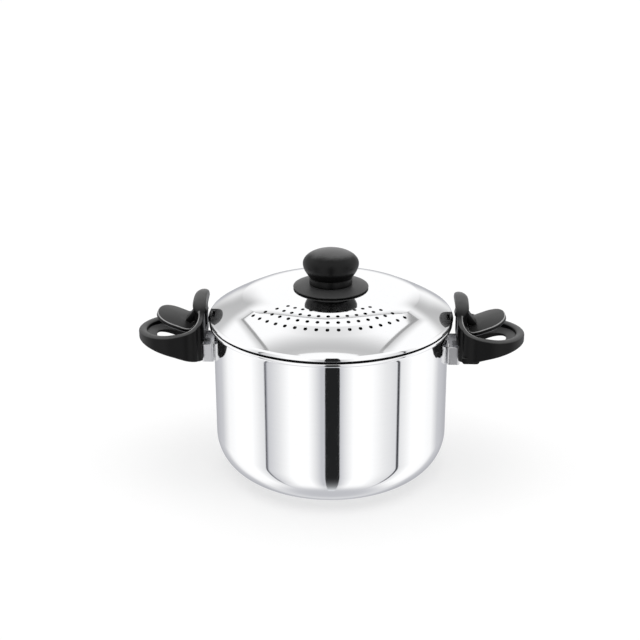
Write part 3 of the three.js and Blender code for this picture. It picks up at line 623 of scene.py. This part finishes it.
class Lid:
    """The lid: a low cap, a round shoulder, a cone, a rolled edge and a skirt, with rows of holes."""

    radius = 102.5
    seat = 133.9
    sheet = 0.9
    edge_height = 1.6
    seam = 1.75
    edge = 4.5
    edge_end = 5.0
    slope = 29.0
    swell = 4.0
    shoulder = 75.0
    cap_edge = 50.0
    cap = 700.0
    skirt = 96.9
    skirt_drop = 4.6
    knob_hole = 2.8
    hole = 1.55
    rows = 4
    first_row = 53.8
    row_pitch = 7.7
    first_half_angle = 37.8
    half_angle_step = 4.8
    first_count = 11
    count_step = 2
    hole_steps = 20
    cutter_height = 40.0
    hem_width = 4.2
    fold = 0.3
    fold_steps = 5
    seam_slack = 0.05
    skirt_slack = 0.5
    segments = 288

    def curve(self, depth: float) -> np.ndarray:
        """The sheet's curve from the knob's hole to the upright edge, without points next to its joins."""
        slope = np.radians(self.slope)
        cap_angle = np.arcsin(self.cap_edge / self.cap)
        edge = (self.radius - self.edge, self.seat + self.edge_height)
        foot = (edge[0] + self.edge * np.sin(slope), edge[1] + self.edge * np.cos(slope))
        head_radius = self.cap_edge + self.shoulder * (np.sin(slope) - np.sin(cap_angle))
        head = (head_radius, foot[1] + (foot[0] - head_radius) * np.tan(slope))
        bend = (head[0] - self.shoulder * np.sin(slope), head[1] - self.shoulder * np.cos(slope))
        top = bend[1] - (self.cap - self.shoulder) * np.cos(cap_angle)
        start = np.degrees(np.arcsin(self.knob_hole / self.cap))
        turn = np.degrees(cap_angle)
        swell = self.swell
        upper, lower = 90 - self.slope + swell, 90 - self.slope - swell
        run = np.hypot(foot[0] - head[0], foot[1] - head[1])
        round_cone = run / 2 / np.sin(np.radians(swell))
        middle = np.array([head[0] + foot[0], head[1] + foot[1]]) / 2
        centre = middle - round_cone * np.cos(np.radians(swell)) * np.array([np.sin(slope), np.cos(slope)])
        return chained(
            16,
            arc((0, top), self.cap - depth, 90 - start, 90 - turn, 16),
            arc(bend, self.shoulder - depth, 90 - turn, upper, 30)[:-3],
            arc(tuple(centre), round_cone - depth, upper, lower, 24)[2:-1],
            arc(edge, self.edge - depth, lower, self.edge_end, 16)[1:],
        )

    def profile(self) -> np.ndarray:
        """The closed section of the sheet, the folded edge and the skirt."""
        low, ceiling, turn = self.seat - self.skirt_drop, self.seat + self.sheet + self.seam, self.fold
        inner_skirt, hem = self.skirt - self.sheet, self.seat + self.seam
        hem_end = self.radius - self.hem_width
        return chained(
            6,
            self.curve(0),
            arc((self.radius - turn, hem + turn), turn, 0, -90, self.fold_steps),
            [(hem_end, hem), (hem_end, self.seat)],
            arc((self.skirt + turn, self.seat - turn), turn, 90, 180, 4),
            arc((self.skirt - self.sheet / 2, low + self.sheet / 2), self.sheet / 2, 0, -180, 8),
            [(inner_skirt, ceiling), (self.radius - self.sheet, ceiling)],
            self.curve(self.sheet)[::-1],
        )

    def holes(self) -> Patch:
        """Upright cutters for the holes: radius r0 + k dr, angles spread evenly to each row's half angle."""
        row = np.arange(self.rows)
        counts = self.first_count + self.count_step * row
        index = np.concatenate([np.linspace(-1, 1, count) for count in counts])
        half = np.repeat(np.radians(self.first_half_angle + self.half_angle_step * row), counts)
        reach = np.repeat(self.first_row + self.row_pitch * row, counts)
        angle = index * half - np.pi / 2
        top = self.seat + self.cutter_height
        cutters = [
            bar(2, self.hole, self.seat, top, (far * np.cos(turn), far * np.sin(turn)), self.hole_steps)
            for far, turn in zip(reach, angle)
        ]
        return together(cutters)

    def build(self, finishes: Finishes) -> None:
        """Makes the lid in place of its node."""
        rows = self.profile()
        patch = lathe(rows, self.segments, closed=True)
        fold_end = len(self.curve(0)) + self.fold_steps
        row = np.repeat(np.arange(len(rows)), self.segments)
        # The groove under the fold takes the dark finish: painted shade
        low = rows[row, 1] < self.seat + self.seam + self.seam_slack
        in_seam = low & (rows[row, 0] > self.skirt + self.skirt_slack) & (row > fold_end - 1)
        zones = np.select([in_seam, row < fold_end + 1], [2, 0], 1)
        metals = [finishes.mirror, finishes.satin, finishes.seam]
        made = solid("strainer_lid", Patch(patch.points, patch.faces, zones.tolist()), metals)
        carved(made, [], [self.holes()])
        fit(made, "lid", "lid_shell")


class Knob:
    """The knob: a round guard disc and a mushroom grip with a grooved collar."""

    hole = 2.8
    guard = 31.4
    lip = 0.55
    droop = 2.1
    guard_low = 161.4
    guard_high = 164.1
    low = 164.4
    bore = 5.3
    bore_top = 179.7
    neck = 17.9
    neck_height = 5.2
    groove = 0.6
    grip = 23.3
    belly = 17.2
    height = 29.0
    guard_chamfer = 3.0
    collar_edge = 0.5
    collar_lip = 0.25
    groove_ends = (0.1, 0.2)
    segments = 160

    def guard_profile(self) -> np.ndarray:
        """The guard's closed section: a top that droops by d s^2 to a thin lip."""
        lip, share = self.lip, np.linspace(0, 1, 16)
        edge = self.guard_high - self.droop
        reach = self.guard - lip
        fall = edge + self.droop * (1 - (1 - share) ** 2)
        top = stacked(reach + (self.neck - reach) * share, fall)
        return chained(
            8,
            [(self.hole, self.guard_low), (reach - self.guard_chamfer, self.guard_low)],
            arc((reach, edge - lip), lip, -90, 90, 12),
            top,
            (self.hole, self.guard_high),
        )

    def grip_profile(self) -> np.ndarray:
        """The grip's section: r = n + (g - n) sin(s) up the flare and r = g cos(s) over the dome."""
        flare_foot = self.low + self.neck_height + self.groove
        belly = self.low + self.belly
        share = np.linspace(0, 1, 24)
        turn = share * np.pi / 2
        flare_reach = self.neck + (self.grip - self.neck) * np.sin(turn)
        flare = stacked(flare_reach, flare_foot + (belly - flare_foot) * share)
        dome = stacked(self.grip * np.cos(turn), belly + (self.height - self.belly) * np.sin(turn))
        dome[-1, 0] = 0
        edge, lip, (groove_low, groove_high) = self.collar_edge, self.collar_lip, self.groove_ends
        collar_top, floor = self.low + self.neck_height, self.neck - self.groove
        return chained(
            8,
            [(0, self.bore_top), (self.bore, self.bore_top), (self.bore, self.low)],
            arc((self.neck - edge, self.low + edge), edge, -90, 0, 6),
            arc((self.neck - lip, collar_top - lip), lip, 0, 90, 5),
            [(floor, collar_top + groove_low), (floor, flare_foot - groove_high)],
            flare,
            dome,
        )

    def build(self, finishes: Finishes) -> None:
        """Makes the guard and the grip in place of their nodes."""
        disc = lathe(self.guard_profile(), self.segments, closed=True)
        fit(solid("guard_disc", disc, [finishes.disc]), "lid", "knob_guard")
        grip = lathe(self.grip_profile(), self.segments)
        fit(solid("mushroom_grip", grip, [finishes.knob]), "lid", "knob_grip")


class LoopHandle(Sided):
    """A moulded loop handle whose root rises into a shield with a club-shaped head."""

    face = 105.5
    length = 57.0
    width = 60.0
    band = 7.0
    shield = 7.8
    corner = 12.0
    loop_top = 123.2
    root_bottom = 101.6
    left_root_drop = 2.8
    tip_height = 7.0
    shield_top = 155.8
    shield_half = 13.2
    crown = 3.6
    edge = 0.7
    cheek = 18.5
    sweep = 14.0
    club_span = (137.6, 147.6)
    bulge_out = 2.3
    bulge_in = 1.4
    slant = 1.8
    ledge = 8.0
    ledge_fade = (0.3, 0.6)
    boss = 4.0
    boss_fade = (116.2, 137.2)
    setback = 3.0
    setback_end = (17.0, 18.8)
    setback_fade = (114.4, 116.9)
    crease = 0.7
    crease_at = 22.5
    crease_width = 1.2
    crease_fade = (138.0, 150.0)
    cheek_start = (11.0, 16.0)
    cheek_end = (28.0, 44.0)
    thinning = 4.6
    thinning_rise = (0.4, 0.8)
    crest_span = (14.2, 52.0)
    crest_round = 1.2
    loop_round = 0.6
    low_round = 1.6
    foot_span = (109.2, 123.7)
    foot_heights = (104.2, 109.2)
    foot_across = (-28.25, -24.0)
    foot_round = 2.5
    pivot_reach = 9.9
    screw = (0.0, 109.1)
    screw_bore = 2.7
    counterbore = 5.1
    hollow = ((104.5, 113.1), 6.5, (123.5, 152.4))
    inner_window = ((90.0, 109.4), 6.5, (128.0, 145.2))
    outer_window = ((109.4, 128.0), 6.1, (123.5, 145.0))
    pocket = ((107.8, 119.2), 16.0, (117.6, 130.5))
    wide_pocket = ((109.2, 119.2), 20.5, (117.6, 130.5))
    screw_span = (91.0, 131.0)
    counterbore_span = (114.7, 131.0)
    plan_steps = (200, 300, 200, 400)
    stations = 300
    crowding = 0.6
    arc_steps = 8
    side_steps = 40

    def plan(self, share: np.ndarray) -> tuple[np.ndarray, np.ndarray, np.ndarray]:
        """The ring's middle line in plan."""
        leg = self.width / 2 - self.band / 2
        root = self.face + self.shield / 2
        bend, end = root + self.corner, self.face + self.length - self.width / 2
        root_steps, bend_steps, leg_steps, tip_steps = self.plan_steps
        half = np.concatenate(
            [
                np.linspace([root, 0], [root, self.corner - leg], root_steps)[:-1],
                arc((bend, self.corner - leg), self.corner, 180, 270, bend_steps)[:-1],
                np.linspace([bend, -leg], [end, -leg], leg_steps)[:-1],
                arc((end, 0), leg, -90, 0, tip_steps),
            ]
        )
        path = np.concatenate([half, half[-2::-1] * np.array([1, -1])])
        along = np.concatenate([[0], np.cumsum(np.hypot(*np.diff(path, axis=0).T))])
        total = along[-1]
        middle = stacked(*(np.interp(share * total, along, part) for part in path.T))
        slope = np.gradient(path, along, axis=0)
        heading = stacked(*(np.interp(share * total, along, part) for part in slope.T))
        heading /= np.linalg.norm(heading, axis=1, keepdims=True)
        return middle, heading, np.minimum(share, 1 - share) * total

    def top_edge(self, from_root: np.ndarray) -> np.ndarray:
        """Height of the top edge: l + c exp(-(s - w) / q) and a head with a logistic shoulder at s = w."""
        past = np.maximum(from_root - self.shield_half, 0)
        head = self.shield_top - self.loop_top - self.cheek
        crown = self.crown * np.minimum(from_root / self.shield_half, 1) ** 2
        shoulder = 1 + np.exp(np.minimum((from_root - self.shield_half) / self.edge, EXP_LIMIT))
        return self.loop_top + self.cheek * np.exp(-past / self.sweep) + (head - crown) / shoulder

    def ring(self) -> Patch:
        """The ring: a section of quarter rounds and flat sides carried round the plan, fuller at the head."""
        even = np.linspace(0, 1, self.stations, endpoint=False)
        share = even - self.crowding * np.sin(2 * np.pi * even) / (2 * np.pi)
        middle, heading, from_root = self.plan(share)
        at_loop = smoothstep(from_root, self.shield_half, self.shield_half + 2 * self.sweep)
        half = (self.shield + (self.band - self.shield) * at_loop) / 2
        drop = (middle[:, 0] - self.face) / self.length
        root = self.root_bottom - (self.left_root_drop if self.side is Side.LEFT else 0.0)
        bottom = root + (self.loop_top - self.tip_height - root) * drop
        top = self.top_edge(from_root)
        narrow = smoothstep(from_root, *self.cheek_start)
        top_round = half + (self.crest_round - half) * narrow + self.loop_round * at_loop
        low_round = self.low_round

        quarter = np.linspace(0, np.pi / 2, self.arc_steps + 1)
        straight = np.linspace(0, 1, self.side_steps + 1)[1:-1]
        height = np.concatenate(
            [
                column(bottom) + low_round * (1 - np.cos(quarter)),
                column(bottom + low_round) + column(top - top_round - bottom - low_round) * straight,
                column(top) - column(top_round) * (1 - np.sin(quarter)),
            ],
            axis=1,
        )
        fullness = np.concatenate([np.sin(quarter), np.ones(len(straight)), np.cos(quarter)])
        fullness[-1] = 0.0

        club = smoothstep(height, *self.club_span)
        rise = (height - column(bottom)) / column(top - bottom)
        ledge = self.ledge * column(at_loop) * (1 - smoothstep(rise, *self.ledge_fade))
        low = column(1 - at_loop) * (1 - smoothstep(height, *self.boss_fade))
        boss = self.boss * low * column(1 - smoothstep(from_root, self.shield_half / 2, self.shield_half))
        behind = column((1 - at_loop) * (1 - smoothstep(from_root, *self.setback_end)))
        setback = self.setback * behind * (1 - smoothstep(height, *self.setback_fade))
        crease = self.crease * np.exp(-(((column(from_root) - self.crease_at) / self.crease_width) ** 2))
        crease = crease * (1 - smoothstep(height, *self.crease_fade))
        cheek = column(narrow * (1 - smoothstep(from_root, *self.cheek_end)))
        thinner = self.thinning * cheek * smoothstep(rise, *self.thinning_rise)
        outside = fullness * (column(half) + self.bulge_out * club - setback - crease)
        inside = -fullness * (column(half) + self.bulge_in * club + ledge + boss - thinner)
        lift = self.slant * club * fullness

        offset = np.concatenate([outside, inside[:, -2:0:-1]], axis=1)
        heights = np.concatenate([height + lift, (height - lift)[:, -2:0:-1]], axis=1)
        patch = grid(swept(middle, heading, offset, heights))
        column_number = np.arange(offset.shape[1])[None]
        # The crest faces take the pale finish: a painted highlight along the cheek's top edge
        crest = (column_number >= len(fullness) - 2) & (column_number < len(fullness) + 2)
        crest = crest & column((from_root > self.crest_span[0]) & (from_root < self.crest_span[1]))
        return Patch(patch.points, patch.faces, crest.astype(int).ravel().tolist())

    def foot(self) -> Patch:
        """The small foot below the root's front cheek, with two round corners."""
        (near, far), (low, high), turn = self.foot_span, self.foot_heights, self.foot_round
        left = arc((near + turn, low + turn), turn, 180, 270, 8)
        right = arc((far - turn, low + turn), turn, 270, 360, 8)
        outline = np.concatenate([left, right, [[far, high], [near, high]]])
        return extruded(outline, 1, *self.foot_across)

    def cuts(self) -> list[Patch]:
        """The shield's hollow, its two windows, the pocket behind the plate and the bores."""
        rooms = (self.hollow, self.inner_window, self.outer_window, self.pocket, self.wide_pocket)
        return [
            *(block(*room) for room in rooms),
            bar(1, self.pivot_bore, -self.pivot_reach, self.pivot_reach, self.pivot),
            bar(0, self.screw_bore, *self.screw_span, self.screw),
            bar(0, self.counterbore, *self.counterbore_span, self.screw),
        ]

    def build(self, finishes: Finishes) -> None:
        """Makes the handle in place of its node."""
        made = solid(self.named("loop"), self.turned(self.ring()), [finishes.loop, finishes.crest])
        carved(made, [self.turned(self.foot())], [self.turned(cut) for cut in self.cuts()])
        fit(made, "pot", self.named("handle"))


class LockLever(Sided):
    """A thumb lever in the shield: hub and nose on a pin, and a crowned oval plate over the loop."""

    hub = 3.4
    width = 11.4
    waist = 2.2
    waist_drop = 4.6
    lock_angle = 17.0
    nose = (100.5, 139.87)
    nose_height = 4.4
    heel = 13.3
    arm = 3.6
    neck_drop = 4.5
    length = 33.0
    breadth = 41.0
    thickness = 3.4
    crown = 1.6
    belly = 3.0
    tilt = 21.0
    reach = 21.8
    drop = 17.0
    outer_power = 2.3
    inner_power = 4.2
    under = ((0.6, 2.3), (0.88, 1.0), (0.97, -0.1), (1.0, -0.6))
    edge = 0.7
    bevel = 1.1
    coil_room = 2.0
    coil_end = -0.95
    bevel_steps = 3
    bevel_from = 50.0
    arm_crisp = 30.0
    steps = 128

    def plate(self) -> Patch:
        """The plate: a profile (s, z) round a superellipse, (l s |cos t|^(2/p), b s |sin t|^(2/p), z)."""
        half, size = self.thickness / 2, (self.length / 2, self.breadth / 2)
        edge, inset = self.edge, self.edge / size[1]
        quarter = arc((0, 0), 1, 0, 90, 6)
        crisp = stacked(1 - inset + inset * quarter[:, 0], half - edge + edge * quarter[:, 1])
        share = np.linspace(crisp[-1, 0], 0, 14)[1:]
        top = stacked(share, half + self.crown * (1 - (share / crisp[-1, 0]) ** 2))
        under = [[0.0, -half - self.belly], *([share, -half - depth] for share, depth in self.under)]
        profile = np.concatenate([under, crisp, top])
        turn = np.linspace(0, 2 * np.pi, self.steps, endpoint=False)
        power = 2 / np.where(np.cos(turn) > 0, self.outer_power, self.inner_power)
        x, y = (
            profile[:, :1] * (reach * np.sign(part) * np.abs(part) ** power)
            for reach, part in zip(size, (np.cos(turn), np.sin(turn)))
        )
        z, tilt = profile[:, 1:], np.radians(self.tilt)
        along, up = np.cos(tilt), np.sin(tilt)
        points = stacked(x * along - z * up, y, x * up + z * along)
        middle = np.array([self.pivot[0] + self.reach, 0, self.pivot[1] - self.drop])
        patch = grid(points + middle, wrap_rows=False)
        row = np.repeat(np.arange(len(profile) - 1), self.steps)
        first = len(under)
        # The crisp rim takes the pale finish: a painted highlight round the plate's edge
        zones = (row >= first) & (row < first + len(crisp) - 1)
        return Patch(patch.points, patch.faces, zones.astype(int).tolist())

    def outline(self) -> np.ndarray:
        """The arm's outline in X and Z from the pivot: hub, waist, nose, heel and neck."""
        turn, tilt = np.radians(self.lock_angle), np.radians(self.tilt)
        locked = np.array(self.nose) - np.array(self.pivot)
        spin = np.array([[np.cos(turn), -np.sin(turn)], [np.sin(turn), np.cos(turn)]])
        tip = spin @ locked
        along, across = np.array([np.cos(tilt), np.sin(tilt)]), np.array([-np.sin(tilt), np.cos(tilt)])
        neck = np.array([self.reach, -self.drop]) - along * self.length / 4
        top = neck + across * (self.thickness / 2 + self.crown)
        bottom = neck - across * self.thickness / 2
        share = np.linspace(0, 1, 17)[:, None]

        def bow(first: np.ndarray, pull: np.ndarray, last: np.ndarray) -> np.ndarray:
            """The curve (1 - s)^2 a + 2 s (1 - s) p + s^2 b."""
            return (1 - share) ** 2 * first + 2 * share * (1 - share) * pull + share**2 * last

        arm = self.arm
        return np.concatenate(
            [
                arc((0, 0), self.hub, 0, 180, 24),
                [
                    [-self.waist, -self.waist_drop],
                    tip + np.array([self.nose_height / 4, self.nose_height]),
                    tip,
                ],
                bow(np.array([0, -self.heel]), np.array([arm / 2, -self.drop]), bottom),
                bow(
                    top,
                    np.array([arm + self.neck_drop / 2, -self.neck_drop - arm]),
                    np.array([arm, -self.neck_drop]),
                ),
            ]
        )

    def build(self, finishes: Finishes) -> None:
        """Makes the lever in place of its node."""
        half = self.width / 2
        arm = extruded(self.outline() + np.array(self.pivot), 1, -half, half)
        arm = solid("tool_arm", self.turned(arm), sharp=self.arm_crisp)
        bevel = {"width": self.bevel * MM, "segments": self.bevel_steps}
        limit = {"limit_method": "ANGLE", "angle_limit": np.radians(self.bevel_from)}
        worked(arm, [("BEVEL", {**bevel, **limit})])
        plate = self.turned(self.plate())
        made = solid(self.named("thumb_lever"), plate, [finishes.pad, finishes.edge_highlight])
        worked(made, [boolean("UNION", arm)])
        bpy.data.objects.remove(arm)
        cuts = [
            bar(1, self.pivot_bore, -self.width, self.width, self.pivot),
            bar(1, self.hub + self.coil_room, -self.width, self.coil_end, self.pivot),
        ]
        carved(made, [], [self.turned(cut) for cut in cuts])
        fit(made, self.named("lever"), self.named("lock_lever"))


class Bracket(Sided):
    """A steel strap bent into a U, with its ears along the pot's wall."""

    wall = 98.8
    thickness = 1.5
    half_width = 17.0
    low = 98.5
    high = 114.0
    bend = 1.9
    face = 108.2
    ear = 7.0
    edge = 0.4
    root = 1.0
    root_gap = 0.05
    root_turn = (172.0, 90.0)
    crisp = 50.0

    def path(self) -> np.ndarray:
        """The strap's middle line in plan from one ear's tip to the other's."""
        middle = self.thickness / 2
        leg = self.half_width - middle
        tip = self.half_width - self.thickness - self.ear
        radius = self.wall + middle
        root = self.root
        foot = np.degrees(np.arcsin((leg - root) / radius))
        ear = arc((0, 0), radius, np.degrees(np.arcsin(tip / radius)), foot, 8)
        start = radius * np.cos(np.radians(foot)) + root + self.root_gap
        turn = arc((start, leg - root), root, *self.root_turn, 6)
        bend = arc((self.face - self.bend, self.half_width - self.bend), self.bend - middle, 90, 0, 12)
        half = chained(8, ear, turn, bend)
        mirrored = half[::-1] * np.array([1, -1])
        return np.concatenate([half, line(half[-1], mirrored[0], 12), mirrored])

    def strap(self) -> Patch:
        """A rounded flat section carried along the path, with its normal in plan."""
        path = self.path()
        heading = np.gradient(path, axis=0)
        heading /= np.linalg.norm(heading, axis=1, keepdims=True)
        half, edge = self.thickness / 2, self.edge
        right, top, left, bottom = half - edge, self.high - edge, edge - half, self.low + edge
        corners = [(right, top), (left, top), (left, bottom), (right, bottom)]
        section = np.concatenate([arc(at, edge, 90 * k, 90 * k + 90, 4) for k, at in enumerate(corners)])
        return capped(swept(path, heading, section[:, 0], section[:, 1]))

    def build(self, finishes: Finishes) -> None:
        """Makes the strap in place of its node."""
        made = solid(self.named("strap"), self.turned(self.strap()), [finishes.strap], self.crisp)
        fit(made, "pot", self.named("bracket"))


def dress_small_parts(finishes: Finishes) -> None:
    """Gives the screws, washers, nuts, pins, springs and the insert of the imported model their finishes."""
    for name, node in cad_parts.items():
        if any(word in name for word in SMALL_PARTS):
            for place in node.material_slots:
                place.material = finishes.brass if name == "knob_insert" else finishes.zinc


class Studio:
    """A white tent with a slit for the camera, a soft lamp overhead and a pale floor."""

    target = (0.0, 0.0, 0.130)
    distance = 1.078
    elevation = 21.07
    azimuth = 2.0
    lens = 72.0
    shift = (-0.017, 0.0017)
    ambient = 0.4
    lamp_level = 0.6
    card_span = (-0.062, 0.188)
    walls = (
        (-180, 0.55), (-158, 0.5), (-134, 0.64), (-118, 1.0), (-104, 1.08), (-82, 1.08), (-70, 0.86),
        (-66.0, 0.82), (-65.6, 0.02), (-63.5, 0.02), (-63.1, 0.62), (-50, 0.84), (-38, 1.08), (-20, 1.08),
        (-13, 0.84), (-7, 0.6), (10, 0.6), (16, 0.82), (24, 1.08), (42, 1.08), (56, 0.88), (69.2, 0.76),
        (69.6, 0.02), (71.7, 0.02), (72.1, 0.82), (79, 0.92), (88, 1.08), (106, 1.08), (120, 1.0),
        (134, 0.64), (158, 0.5), (180, 0.55),
    )
    open_level = 1.06
    open_rise = (0.42, 0.57)
    back_half = (0.2, 0.48)
    back_rise = (-0.15, 0.1)
    ground_level = 0.98
    ground_rise = (0.76, 0.97)
    ground_fall = 0.4
    ground_dark = (0.8, 1.0)
    lowest_back = 0.01
    lowest_ceiling = 0.05
    ceiling_rise = (0.1, 0.2)
    panel_shift = 0.06
    panel_taper = 0.33
    panel_skew = 0.56
    panel_edges = ((0.37, 0.38), (0.115, 0.135), (0.74, 0.76))
    panel_front = 0.56
    panel_gain = 0.5
    panel_rise = (0.12, 0.5)
    shade_edges = ((0.39, 0.5), (0.1, 0.3), (0.7, 1.0))
    shade_depth = 0.42
    line_edges = ((0.4, 0.41), (0.07, 0.08), (0.78, 0.8))
    line_depth = 0.45
    cool_tint = (0.9, 0.915, 1.0)
    cool_levels = (0.2, 1.0)
    cool_heights = (-0.1, 0.05)
    floor_tint = 0.5
    floor_glow = 0.52
    floor_reach = 6.0
    floor_height = -0.0004
    card_away = -1.06
    card_heights = (-3.6, 1.6)
    card_fade = (-3.2, -0.4)
    card_low_tint = (0.73, 0.745, 0.767)
    card_tint = (0.016, 0.0165, 0.017)
    lamp_height = 1.5
    lamp_angle = 70.0

    def camera(self) -> None:
        """Places the camera of the photograph."""
        lift, turn = np.radians(self.elevation), np.radians(self.azimuth)
        away = Vector((np.sin(turn) * np.cos(lift), -np.cos(turn) * np.cos(lift), np.sin(lift)))
        data = bpy.data.cameras.new("camera")
        data.lens, data.sensor_width = self.lens, 36.0
        data.shift_x, data.shift_y = self.shift
        made = placed("camera", data)
        made.location = Vector(self.target) + away * self.distance
        made.rotation_euler = away.to_track_quat("Z", "Y").to_euler()
        bpy.context.scene.camera = made

    def tent(self, shade: Shade) -> Value:
        """The tent's brightness by direction: walls by azimuth, a ceiling panel and a plain pale ground."""
        direction = shade.node("ShaderNodeTexCoord", None, None, "Generated")
        x, y, z = shade.parts(direction)
        azimuth = shade.math("ARCTAN2", x, -1.0 * y) * (180 / np.pi)
        ramp = shade.node("ShaderNodeValToRGB", None, {0: azimuth / 360 + 0.5})
        stops = ramp.socket.node.color_ramp.elements
        for number, (angle, level) in enumerate(self.walls):
            stop = stops[number] if number < 2 else stops.new(angle / 360 + 0.5)
            stop.position = angle / 360 + 0.5
            stop.color = (level, level, level, 1.0)
        side = shade.node("ShaderNodeRGBToBW", None, {0: ramp})
        side = side + (self.open_level - side) * z.rise(*self.open_rise)
        beside = abs(x) / shade.math("MAXIMUM", y, self.lowest_back)
        back = (1 - beside.rise(*self.back_half)) * z.rise(*self.back_rise)
        wall = side + (self.open_level - side) * back
        down = -1.0 * z
        ground = self.ground_level - self.ground_fall * down.rise(*self.ground_dark)
        wall = wall + (ground - wall) * down.rise(*self.ground_rise)
        height = shade.math("MAXIMUM", z, self.lowest_ceiling)
        u, v, up = abs(x / height + self.panel_shift), y / height, z.rise(*self.ceiling_rise)
        across, behind = u - self.panel_taper * v, v - self.panel_skew * u

        def outlined(flank: Span, front: Span, far: Span) -> Value:
            """1 within an outline like the ceiling panel's, 0 outside its three soft edges."""
            return (1 - across.rise(*flank)) * v.rise(*front) * (1 - behind.rise(*far)) * up

        wall = wall * (1 - self.shade_depth * outlined(*self.shade_edges))
        wall = wall * (1 - self.line_depth * outlined(*self.line_edges))
        panel = self.panel_front + self.panel_gain * v.rise(*self.panel_rise)
        return wall + (panel - wall) * outlined(*self.panel_edges)

    def world(self) -> None:
        """Lights the scene evenly, shows the tent to polished faces and white to the camera."""
        made = bpy.data.worlds.new("tent")
        made.use_nodes = True
        bpy.context.scene.world = made
        shade = Shade(made.node_tree)
        glossy = shade.node("ShaderNodeLightPath", None, None, "Is Glossy Ray")
        camera = shade.node("ShaderNodeLightPath", None, None, "Is Camera Ray")
        tent = self.tent(shade)
        plain = self.ambient + (1 - self.ambient) * camera
        level = plain + (tent - plain) * glossy
        _, _, z = shade.parts(shade.node("ShaderNodeTexCoord", None, None, "Generated"))
        cool = (1 - level.rise(*self.cool_levels)) * (1 - z.rise(*self.cool_heights))
        tone = shade.mix(cool, (1.0, 1.0, 1.0), self.cool_tint)
        lit = shade.node("ShaderNodeBackground", None, {"Color": tone, "Strength": level})
        shade.node_out("ShaderNodeOutputWorld", lit)

    def sheet(self, name: str, corners: Sequence[Triple], finish: Material) -> Object:
        """A flat four-cornered piece of the stage."""
        mesh = bpy.data.meshes.new(name)
        mesh.from_pydata(list(corners), [], [(0, 1, 2, 3)])
        mesh.materials.append(finish)
        made = placed(name, mesh)
        return made

    def floor(self) -> None:
        """A wide pale floor that keeps the shadow but isn't mirrored in the steel."""
        finish, shade = material("pale_floor")
        shade.surface(
            {
                "Base Color": (self.floor_tint, self.floor_tint, self.floor_tint, 1.0),
                "Roughness": 0.9,
                "Specular IOR Level": 0.0,
                "Emission Color": (1.0, 1.0, 1.0, 1.0),
                "Emission Strength": self.floor_glow,
            }
        )
        low, far = self.floor_height, self.floor_reach
        corners = [(-far, -far, low), (far, -far, low), (far, far, low), (-far, far, low)]
        made = self.sheet("floor", corners, finish)
        made.visible_glossy = False

    def card(self) -> None:
        """The tent's dark slit in front of the pot, which only polished faces see; it fades out downwards."""
        finish, shade = material("dark_slit")
        _, _, z = shade.parts(shade.place())
        glow = shade.mix(z.rise(*self.card_fade), self.card_low_tint, self.card_tint)
        shade.surface(
            {
                "Base Color": (0.0, 0.0, 0.0, 1.0),
                "Roughness": 1.0,
                "Specular IOR Level": 0.0,
                "Emission Color": glow,
                "Emission Strength": 1.0,
            }
        )
        (left, right), (low, high), away = self.card_span, self.card_heights, self.card_away
        corners = [(left, away, low), (right, away, low), (right, away, high), (left, away, high)]
        made = self.sheet("slit", corners, finish)
        made.visible_camera = made.visible_diffuse = made.visible_shadow = False

    def lamp(self) -> None:
        """A wide soft lamp straight overhead, with an irradiance of pi times its level."""
        data = bpy.data.lights.new("overhead", "SUN")
        data.energy, data.angle = np.pi * self.lamp_level, np.radians(self.lamp_angle)
        made = placed("overhead", data)
        made.location = (0.0, 0.0, self.lamp_height)
        made.visible_glossy = False

    def build(self) -> None:
        """Sets camera, world, floor, slit, lamp and the view settings."""
        self.camera()
        self.world()
        self.floor()
        self.card()
        self.lamp()
        bpy.context.scene.view_settings.view_transform = "Standard"


def main() -> None:
    """Builds the scene."""
    finishes = Finishes()
    parts: list[Any] = [Pot(), Lid(), Knob()]
    for side in Side:
        parts += [LoopHandle(side), LockLever(side), Bracket(side)]
    for part in parts:
        part.build(finishes)
    dress_small_parts(finishes)
    Studio().build()


if __name__ == "__main__":
    main()
